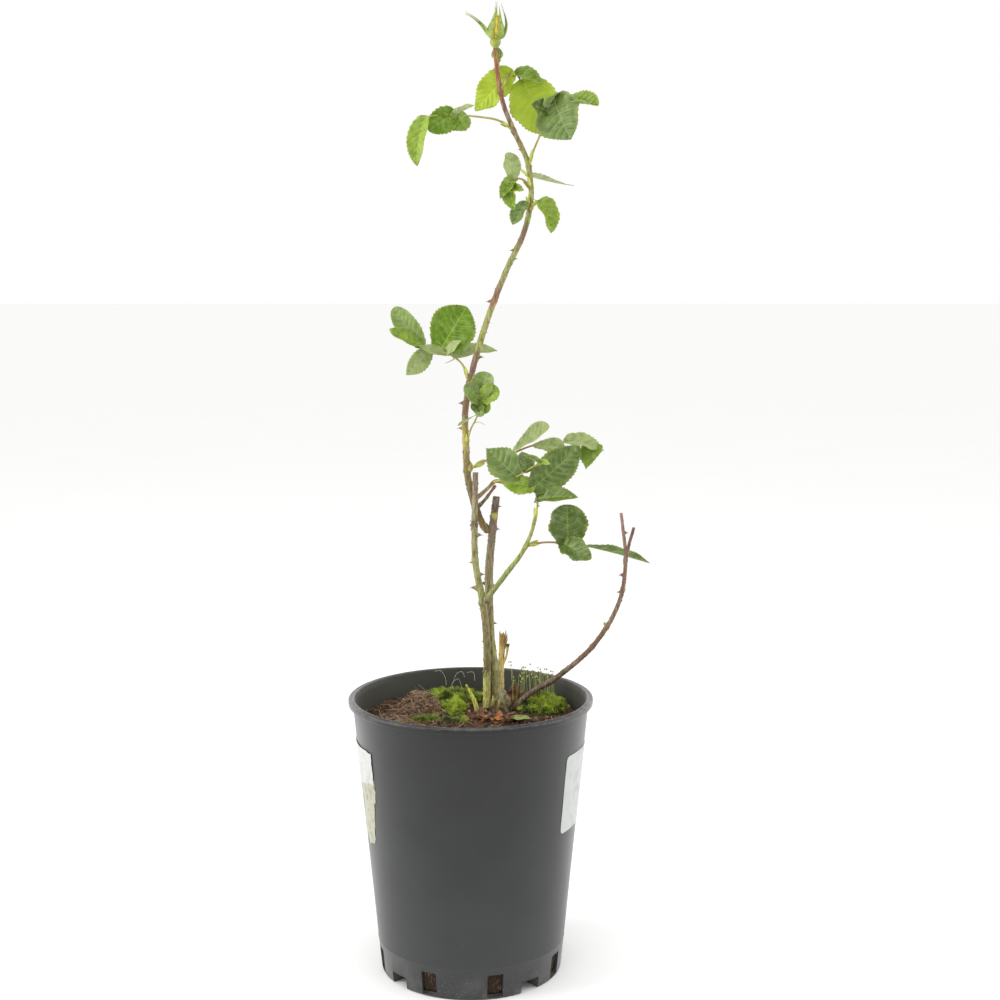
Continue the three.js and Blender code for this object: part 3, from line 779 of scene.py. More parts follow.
def fibreShape(bm):  # a bent fibre of unit length
    bmesh.ops.create_cone(bm, cap_ends=True, segments=4, radius1=0.03, radius2=0.018, depth=1)
    sliceAcross(bm, (0, 0, 1), (-0.32, -0.16, 0, 0.16, 0.32))
    for vert in bm.verts:
        vert.co.x += 0.18 * math.cos(vert.co.z * 3.4)
        vert.co.y += 0.07 * math.sin(vert.co.z * 7)


crumbs = {
    "seed": 11,
    "count": 4200,
    "tones": (50, 32, 14, 4),  # shares of dark, brown, rusty and pale ones
    "flakes": 0.22,  # share of flat ones
    "edge": wallRadius(soilTop) - pot["wall"] - 2.5,
}
coir = {
    "count": 1500,
    "tones": (20, 40, 40),  # shares of brown, rusty and pale fibres
    "near": ((-42, 9), (18, 12)),  # where two thirds of them lie: middle and spread along X and along Y
    "far": ((-52, 16), (-6, 26)),
    "stray": 0.12,  # share that lies anywhere within strayReach
    "strayReach": 80,
    "edge": crumbs["edge"] - 5,
    "heap": (-42, 20),
    "heapSize": (13, 16, 17),
}


def placeCrumbs(rng):
    places = []
    while len(places) < crumbs["count"]:
        turn = rng.uniform(0, math.tau)
        radius = crumbs["edge"] * math.sqrt(rng.random())
        x, y = radius * math.cos(turn), radius * math.sin(turn)
        if any(bedHeight(bed, x, y) for bed in mossBeds.values()):
            continue
        spin = Vector((rng.gauss(0, 1), rng.gauss(0, 1), rng.gauss(0, 1)))
        coarse = noise.noise(Vector((x, y, 0)) * 0.06) > 0
        size = rng.uniform(0.5, 1.5) + (rng.random() ** 6) * (3.4 if coarse else 1.6)
        finish = rng.choices((0, 1, 2, 3), crumbs["tones"])[0]
        shape = 1 if rng.random() < crumbs["flakes"] else 0
        at = (x, y, soilHeight(x, y) + size * 0.1)
        places.append((shape, finish, turnedTo(spin, (size, size, size * 0.7), at, rng.uniform(0, 6))))
    return places


def placeFibres(rng):  # coir, heaped up on the left
    places = []
    reach = coir["strayReach"]
    (heapX, heapY), (wide, deep, high) = coir["heap"], coir["heapSize"]
    for i in range(coir["count"]):
        x, y = [rng.gauss(*spread) for spread in (coir["near"] if i % 3 else coir["far"])]
        if rng.random() < coir["stray"]:
            x, y = rng.uniform(-reach, reach), rng.uniform(-reach, reach)
        if math.hypot(x, y) > coir["edge"]:
            continue
        heap = high * math.exp(-((x - heapX) / wide) ** 2 - ((y - heapY) / deep) ** 2)
        lie = heading(rng.uniform(0, 360), rng.uniform(-12, 20 + 2 * heap))
        long = rng.uniform(6, 17)
        at = (x, y, soilHeight(x, y) + rng.uniform(0.2, 1.6) + heap * rng.random() ** 0.7)
        finish = rng.choices((1, 2, 3), coir["tones"])[0]
        thick = rng.uniform(0.8, 1.7) * 8
        places.append((2, finish, turnedTo(lie, (thick, thick, long), at, rng.uniform(0, 6))))
    return places


def makeCrumbs():
    rng = random.Random(crumbs["seed"])
    shapes = [littleShape(crumbShape), littleShape(flakeShape), littleShape(fibreShape)]
    finishes = [plain[name] for name in ("crumbDark", "crumbBrown", "crumbRust", "crumbPale")]
    places = placeCrumbs(rng) + placeFibres(rng)
    dealCopies("soilCrumbs", shapes, places, "soil", finishes)
    print("crumbs:", len(places))


makeCrumbs()

tufts = {
    "seed": 23,
    "perArea": 2,  # tries for each square millimetre of a bed's size
    "size": (2.6, 4.6),
    "leans": (0, 0.45, 0.7, 0.55, 0.85, 0.95, 0.75),  # of a shoot's leaves, in radians
    "turn": 2.399,  # from one leaf to the next
    "edge": wallRadius(soilTop) - pot["wall"] - 2,
}


def tuftShape(bm):  # a moss shoot: pointed leaves that lean out round a middle one
    for i, lean in enumerate(tufts["leans"]):
        turn = Matrix.Rotation(i * tufts["turn"], 4, "Z") @ Matrix.Rotation(lean, 4, "Y")
        long = 1 - 0.08 * i
        shape = turn @ Matrix.Translation((0, 0, long / 2)) @ Matrix.Diagonal((1, 0.5, 1, 1))
        bmesh.ops.create_cone(
            bm, cap_ends=True, segments=3, radius1=0.11, radius2=0, depth=long, matrix=shape
        )


def placeTufts(bed, rng):
    (midX, midY), (wide, deep, high) = bed["at"], bed["size"]
    places = []
    for _ in range(round(wide * deep * tufts["perArea"])):
        x = midX + wide * rng.uniform(-0.65, 0.65)
        y = midY + deep * rng.uniform(-0.65, 0.65)
        over = bedHeight(bed, x, y)
        if over is None or math.hypot(x, y) > tufts["edge"]:
            continue
        out = Vector((x - midX, y - midY, high * 1.8)).normalized()
        up = (out + Vector((rng.gauss(0, 0.2), rng.gauss(0, 0.2), 0.4))).normalized()
        size = rng.uniform(*tufts["size"])
        at = Vector((x, y, soilHeight(x, y) + over - 1.1))
        # painted light and shade: tufts in sunnier spots take the bright moss, shadier ones the mid and the
        # dark
        sunny = bed["sun"] + noise.noise(Vector((x, y, 0)) * 0.12) + rng.gauss(0, 0.25)
        finish = 0 if sunny > 0.12 else 1 if sunny > -0.3 else 2
        places.append((0, finish, turnedTo(up, (size, size, size), at, rng.uniform(0, 6))))
    return places


def mossCushion(bed):  # the dark body under the shoots
    (midX, midY), (wide, deep, _) = bed["at"], bed["size"]

    def place(share, turn):
        reach = math.cos(min(0.999, share) * math.pi / 2) * 0.5
        x = midX + wide * reach * math.cos(turn)
        y = midY + deep * reach * math.sin(turn)
        return (x, y, soilHeight(x, y) + (bedHeight(bed, x, y) or 0) * 0.92 - 0.8)

    bm = ringGrid(40, 20, place, 0.05)
    rim = [edge for edge in bm.edges if edge.is_boundary]
    for item in bmesh.ops.extrude_edge_only(bm, edges=rim)["geom"]:
        if isinstance(item, bmesh.types.BMVert):
            item.co.z = soilTop - 4
    closeHoles(bm)
    faceOutwards(bm)
    return bm


def makeMoss():
    rng = random.Random(tufts["seed"])
    tuft = littleShape(tuftShape)
    finishes = [plain[name] for name in ("mossBright", "mossMid", "mossDark")]
    total = 0
    for name, bed in mossBeds.items():
        places = placeTufts(bed, rng)
        makePiece(mossCushion(bed), name + "Cushion", [plain["mossDark"]], "moss")
        dealCopies(name, [tuft], places, "moss", finishes, [bed["node"]])
        total += len(places)
    print("moss shoots:", total)


makeMoss()

capsules = {
    "seed": 5,
    "count": 54,
    "bed": "mossRight",
    "edge": 86,
    "ripe": 0.3,  # share of rusty ones
    "hairs": [  # pale dry threads that hang by the pot's back wall
        [(-33, 88, 227), (-28, 87, 228), (-24, 87, 222), (-23, 86, 215)],
        [(-17, 88, 217), (-14, 88, 225), (-9, 87, 227), (-7, 87, 222)],
        [(-5, 88, 226), (-1, 87, 227), (1, 87, 226), (2, 86, 219)],
        [(-14, 60, 213), (-17, 58, 224), (-12, 58, 228), (-9, 60, 221)],
    ],
}


def makeCapsules():  # thin moss stalks with nodding capsules, and the hairs
    rng = random.Random(capsules["seed"])
    bm = bmesh.new()
    midX, midY = mossBeds[capsules["bed"]]["at"]
    for i in range(capsules["count"]):
        x = midX + (rng.gauss(-1, 7) if i % 4 else rng.uniform(-27, -12))
        y = midY + rng.gauss(10, 6)
        if math.hypot(x, y) > capsules["edge"]:
            continue
        high = rng.uniform(12, 27) + rng.random() ** 3 * 9
        lean = heading(rng.uniform(0, 360)) * high * rng.uniform(0.03, 0.22)
        foot = Vector((x, y, soilTop + 4))
        tip = foot + lean + lift(high)
        nod = tip + lean.normalized() * 1.2 - lift(0.9)
        route = smoothRoute([foot, foot.lerp(tip, 0.5) + lean * 0.15, tip, nod], 1.6)
        growTube(bm, route, taper(0.18, 0.05), 4)
        capsule = smoothRoute([nod, nod + lean.normalized() - lift(1.3)], 0.35)
        growTube(bm, capsule, bulge(0.12, 0.55, 0.1, 0.8), 6, 1 if rng.random() < capsules["ripe"] else 0)
    for hair in capsules["hairs"]:
        growTube(bm, smoothRoute(hair, 1), taper(0.16, 0), 5, 2)
    finishes = [plain[name] for name in ("capsuleStalk", "crumbRust", "threadWhite")]
    makePiece(bm, "mossCapsules", finishes, "moss")
    print("capsules made")


makeCapsules()


# Canes and shoots: routes in millimetres from root to tip, as the frame's own limbs. A thorn has a height,
# a heading and a length, a swelling a height and a size, and a stop of the bark a height and a colour.

limbs = {
    "leftCane": {
        "nodes": ["left_cane"],
        "route": [
            (13, 27, 206), (13, 24, 236), (13, 20, 267), (10, 16, 302), (4, 16, 335), (3, 16, 359),
            (4, 16, 411),
        ],
        "radii": [3.3, 2.3],
        "thorns": [
            (361, 0, 3.8), (328, 0, 3.5), (317, 180, 5), (338, 180, 2.5), (345, 100, 4), (290, 60, 3),
            (371, 180, 1.4), (365, 175, 1.2), (270, 185, 1.6), (254, 200, 1.4), (390, 200, 1.5),
        ],
        "swellings": [(243, 0.35), (303, 0.9), (338, 0.4), (368, 0.8), (388, 0.4)],
        "stops": [
            (206, "c4c066"), (213, "dedd78"), (239, "c8cc76"), (243, "5d5230"), (248, "858352"),
            (300, "888b54"), (312, "96985a"), (350, "949460"), (364, "918f64"), (366, "5c4637"),
            (370, "5c4637"), (372, "958e69"), (385, "938a6a"), (400, "8a7a66"), (411, "756358"),
        ],
    },
    "middleCane": {
        "nodes": ["middle_cane"],
        "route": [
            (23, 27.5, 206), (21, 28, 238), (17, 27, 260), (15, 25, 293), (15, 25, 330), (18, 25, 364),
            (21, 25, 390),
        ],
        "radii": [4, 3.6, 2.8],
        "thorns": [
            (319, 190, 4), (317, 0, 3), (285, 0, 3), (264, 180, 3.5), (364, 0, 2.5), (300, 90, 4),
            (346, 60, 3), (232, 0, 1.8), (252, 20, 1.6), (382, 10, 1.8),
        ],
        "swellings": [(226, 0.5), (317, 0.3), (364, 0.9), (373, 0.3)],
        "stops": [
            (206, "9b9658"), (230, "a8a465"), (290, "8b8b55"), (320, "86885a"), (345, "847c60"),
            (366, "82705f"), (373, "6d5a4a"), (375, "b3ac50"), (378, "a8a04c"), (379.5, "5d4a3e"),
            (390, "5a4840"),
        ],
    },
    "tallShoot": {
        "nodes": ["tall_shoot_lower", "tall_shoot_upper"],
        "route": [
            (17, 25, 361), (11, 25, 365), (4, 25, 381), (-2, 24, 404), (-4, 23, 433), (-4, 19, 463),
            (3, 15, 499), (16, 9, 541), (30, 5, 576), (43, 1, 604), (48, -1, 628), (48, -2, 642),
            (45, -2, 659), (34, 0, 683), (26, 2, 704), (22, 4, 725), (20, 5, 745),
        ],
        "radii": [2.9, 2.75, 2.55, 2.4, 2.25, 2.1, 1.8, 1.5],
        "thorns": [
            (550, 180, 4), (506, 0, 3.5), (468, 180, 4), (448, 180, 3.5), (590, 190, 3), (525, 60, 3.5),
            (485, 250, 3), (583, 10, 2), (668, 190, 1.4), (421, 0, 0.9), (533, 350, 1.2),
        ],
        "swellings": [
            (364, 0.6), (381, 0.4), (411, 0.5), (437, 0.35), (484, 0.6), (550, 0.45), (625, 0.45),
            (654, 0.5), (682, 0.5), (711, 0.4), (742, 0.3),
        ],
        "stops": [
            (357, "866838"), (366, "7d6636"), (378, "5f5936"), (395, "6f6a3e"), (424, "86803f"),
            (428, "9c8a55"), (431, "b3ae4a"), (444, "a9a048"), (449, "85694d"), (478, "7c6450"),
            (505, "7a5f4b"), (511, "93994f"), (543, "949c52"), (546, "96704f"), (561, "7d604b"),
            (566, "8f9850"), (590, "8d914e"), (600, "6f5345"), (605, "75604a"), (609, "8c9a4b"),
            (619, "8f9c4c"), (623, "7d5c42"), (627, "86553c"), (631, "98a451"), (657, "949c4e"),
            (672, "858049"), (688, "6f5140"), (702, "774737"), (714, "8b5336"), (745, "9b6a3f"),
        ],
        "cut": False,
    },
    "greenShoot": {
        "nodes": ["green_shoot"],
        "route": [(10, 16, 303), (17, 13, 312), (30, 9, 330), (42, 5, 347), (49, 2, 363), (52, 1, 374)],
        "radii": [2.4, 2, 1.3],
        "thorns": [(338, 200, 0.8)],
        "swellings": [(306, 0.7), (352, 0.5), (372, 0.3)],
        "stops": [(303, "4a3f2c"), (309, "8f9a50"), (330, "8fa055"), (352, "98a24f"), (374, "a3a650")],
        "relief": 0.7,
        "cut": False,
    },
    "brownCane": {
        "nodes": ["brown_cane_lower", "brown_cane_upper"],
        "route": [
            (33, 28, 207), (46, 20, 223), (73, 4, 245), (99, -8, 272), (115, -15, 299), (122, -19, 321),
            (124, -20, 348), (123, -20, 360), (120, -20, 383),
        ],
        "radii": [2.5, 2.25, 2.05, 1.85, 1.5, 1.2],
        "thorns": [
            (273, 130, 3), (253, 140, 2.5), (334, 180, 3), (320, 180, 2.5), (368, 0, 2), (292, 150, 1.3),
            (240, 330, 1),
        ],
        "swellings": [(272, 0.4), (290, 0.35), (321, 0.6), (345, 0.5), (241, 0.35)],
        "stops": [
            (207, "584840"), (235, "5f4d42"), (262, "6a5546"), (290, "74583f"), (310, "6f5446"),
            (345, "75584c"), (365, "7d5c50"), (383, "8f6a60"),
        ],
        "slot": "brown_bark",
    },
    "caneProng": {
        "route": [(124, -20, 345), (126, -22, 356), (130, -24, 372)],
        "radii": [1.4, 1.2],
        "swellings": [(352, 0.2)],
        "stops": [(345, "75584c"), (372, "6d4f45")],
        "slot": "brown_bark",
    },
    "upperTwig": {
        "nodes": ["upper_twig"],
        "route": [(4, 16, 389), (14, 17, 398), (20, 14, 404), (26, 11, 404)],
        "radii": [1.5, 1.2],
        "thorns": [(397, 280, 0.9)],
        "swellings": [(404, 0.4), (392, 0.3)],
        "stops": [(389, "7d5a3c"), (396, "8f8a50"), (404, "8a5540")],
    },
    "lowerTwig": {
        "nodes": ["lower_twig"],
        "route": [(4, 25, 380), (11, 23, 387), (16, 20, 394), (20, 17, 400)],
        "radii": [1.5, 1.1],
        "swellings": [(383, 0.5), (399, 0.3)],
        "stops": [(380, "5c4630"), (388, "7a6a42"), (400, "8a5a40")],
    },
    "deadStub": {
        "nodes": ["dead_stub"],
        "route": [(25, 40, 206), (25, 40, 240), (26, 40, 272)],
        "radii": [2.4, 2.4, 2.8],
        "swellings": [(248, 0.3)],
        "stops": [(206, "d2c878"), (235, "e6d888"), (258, "d6bc68"), (272, "a37c42")],
        "speck": "b09a5a",
        "slot": "dead_wood",
        "cut": False,
        "broken": True,
    },
    "yellowStub": {
        "nodes": ["yellow_stub"],
        "route": [(6, 19, 207), (2, 17, 221), (-4, 15, 234)],
        "radii": [2.1, 1.7, 0.7],
        "swellings": [(211, 0.3)],
        "stops": [(207, "ccc860"), (222, "e2e862"), (234, "c8d052")],
        "speck": "a9a94a",
        "cut": False,
    },
}
limbUsual = {  # what a limb has where its own entry says nothing else
    "nodes": [],
    "thorns": [],
    "speck": "66503c",
    "relief": 1,
    "slot": "green_bark",
    "cut": True,  # pruned, with wood and pith at its tip
    "broken": False,
}
limbStep = 1.1  # between rings
limbSides = 22
swellingHalf = 1.9  # half a swelling's height
limbRoutes = {name: smoothRoute(limb["route"], limbStep) for name, limb in limbs.items()}


def barkRadius(limb, seed):
    shares = np.linspace(0, 1, len(limb["radii"]))

    def radiusAt(share, turn, point):
        radius = float(np.interp(share, shares, limb["radii"]))
        for height, size in limb["swellings"]:
            radius += size * math.exp(-((point.z - height) / swellingHalf) ** 2)
        around = Vector((math.cos(turn), math.sin(turn), 0))
        lumps = noise.noise(around * 1.1 + Vector((seed, 0, point.z * 0.09)))
        ridges = noise.noise(around * 3.2 + Vector((0, seed, point.z * 0.16)))
        warts = max(0, noise.noise(around * 2.4 + Vector((0, seed, point.z * 0.9))) - 0.28)
        return radius * (1 + (lumps * 0.09 + ridges * 0.07 + warts * 0.6) * limb["relief"])

    return radiusAt


def growThorn(target, route, radius, thorn, number, tipNumber):
    height, turn, long = thorn
    out = heading(turn, -4)
    across = out.cross(lift(1)).normalized()
    at = level(route, height)
    start = at + out * radius * 0.6
    end = at + out * (radius + long * 1.4) - lift(long * 0.28)
    spine = smoothRoute([start, start.lerp(end, 0.5) + lift(long * 0.07), end], long / 9)
    last = len(spine) - 1

    def place(share, angle):  # high and slim at the foot, with a hooked tip
        tall = (0.3 + 0.68 * long) * (1 - share) ** 2.1 + 0.05
        slim = (0.3 + 0.18 * long) * (1 - share) ** 1.3 + 0.05
        corner = spine[round(share * last)] + across * math.cos(angle) * slim + lift(math.sin(angle) * tall)
        return corner + lift(-0.35 * tall)

    bm = ringGrid(12, last, place)
    closeHoles(bm)
    for face in bm.faces:
        share = (face.calc_center_median() - start).length / (end - start).length
        face.material_index = tipNumber if share > 0.66 else number if share > 0.36 else 0
    pour(bm, target)


def makeLimb(name, limb, seed):
    route = limbRoutes[name]
    heights = [point.z for point in route]
    bark = barkFinish(name + "Bark", min(heights), max(heights), limb["stops"], limb["speck"])
    bm = bmesh.new()
    cut, pith = (1, 2) if limb["cut"] else (None, None)
    growTube(bm, route, barkRadius(limb, seed), limbSides, 0, cut, pith)
    for thorn in limb["thorns"]:
        growThorn(bm, route, float(np.mean(limb["radii"])), thorn, 3, 4)
    if limb["broken"]:
        breakTop(bm, route[-1])
    finishes = [plain[finish] for finish in ("cutWood", "pith", "thornRed", "thornPale", "darkKnob")]
    makePiece(bm, name, [bark, *finishes], limb["slot"], limb["nodes"])


splinters = {  # the dead stub's broken top
    "seed": 3,
    "torn": 4,  # how far down its edge is ragged
    "count": 20,
    "below": 13,  # where the fibres start, under the tip
    "start": (1, 2.2),  # how far from the axis
    "lean": (0.5, 3.6),
    "rise": (9, 17),
    "thick": (0.45, 0.9),
    "twig": [(26, 39, 245), (29, 38, 252), (30.5, 38, 261)],
}


def breakTop(bm, tip):  # breaks a stub's top into fibres, with a short side twig
    rng = random.Random(splinters["seed"])
    for vert in bm.verts:
        if vert.co.z > tip.z - splinters["torn"]:
            vert.co.z += noise.noise(Vector((vert.co.x * 1.7, vert.co.y * 1.7, 4))) * 9 - 1.5
    for _ in range(splinters["count"]):
        turn = rng.uniform(0, 360)
        foot = tip - lift(splinters["below"]) + heading(turn) * rng.uniform(*splinters["start"])
        end = foot + heading(turn) * rng.uniform(*splinters["lean"]) + lift(rng.uniform(*splinters["rise"]))
        growTube(bm, smoothRoute([foot, end], 1), taper(1.1, 1, rng.uniform(*splinters["thick"])), 5)

    def twigRadius(share, turn, point):
        return 1.1 - 0.3 * share + 0.4 * math.exp(-((share - 0.9) * 8) ** 2)

    twig = smoothRoute(splinters["twig"], 1)
    growTube(bm, twig, twigRadius, 10, 0, 1)
    for turn in range(20, 360, 60):  # the dark knob at its end
        end = twig[-1] + heading(turn) * 1.5 + lift(rng.uniform(1, 3))
        growTube(bm, smoothRoute([twig[-2], end], 0.8), taper(1, 0.6), 6, 5)


for i, (name, limb) in enumerate(limbs.items()):
    makeLimb(name, {**limbUsual, **limb}, i * 7.3)
print("limbs:", len(limbs))

crown = {
    "at": (22, 27),
    "foot": 12,
    "height": 20,
    "stops": [(205, "453622"), (213, "615236"), (220, "827d54"), (232, "959162")],
    "stubs": [(150, 30, 8), (-70, 25, 7), (-20, 40, 6), (-120, 35, 6.5)],  # turn, rise and length
}


def makeCrown():  # the graft knob at the soil, with stubs of old shoots
    bm = bmesh.new()
    bmesh.ops.create_uvsphere(bm, u_segments=64, v_segments=40, radius=1)
    for vert in bm.verts:
        share = max(0, vert.co.z)
        swell = 1 + noise.noise(vert.co * 2.1 + Vector((4, 0, 0))) * 0.42 + noise.noise(vert.co * 6) * 0.14
        radius = crown["foot"] * (0.92 - 0.3 * share) * swell
        vert.co = Vector((
            crown["at"][0] + vert.co.x * radius + 4 * share,
            crown["at"][1] + vert.co.y * radius,
            soilTop - 2 + vert.co.z * (crown["height"] - 1) * (0.85 + 0.3 * swell * share) * 0.85,
        ))
    for turn, rise, long in crown["stubs"]:
        foot = Vector((*crown["at"], soilTop + 2)) + heading(turn) * 4
        stub = smoothRoute([foot, foot + heading(turn, rise) * long], 1)
        growTube(bm, stub, taper(1, 0.25, long * 0.27), 12, 0, 1)
    bark = barkFinish("crownBark", crown["stops"][0][0], crown["stops"][-1][0], crown["stops"], "4c3b27", 0.8)
    makePiece(bm, "crownKnob", [bark, plain["cutWood"]], "green_bark", ["crown"])
    print("crown made")


makeCrown()


# Leaves: each has a stalk from a height on its limb, and leaflets. A leaflet's row says how far along the
# stalk it stands, its turn, rise, length and width, its roll, which turns the upper face, its fold, which
# lifts both halves, its arch, which bends the tip down, its look, and what else differs from blade.

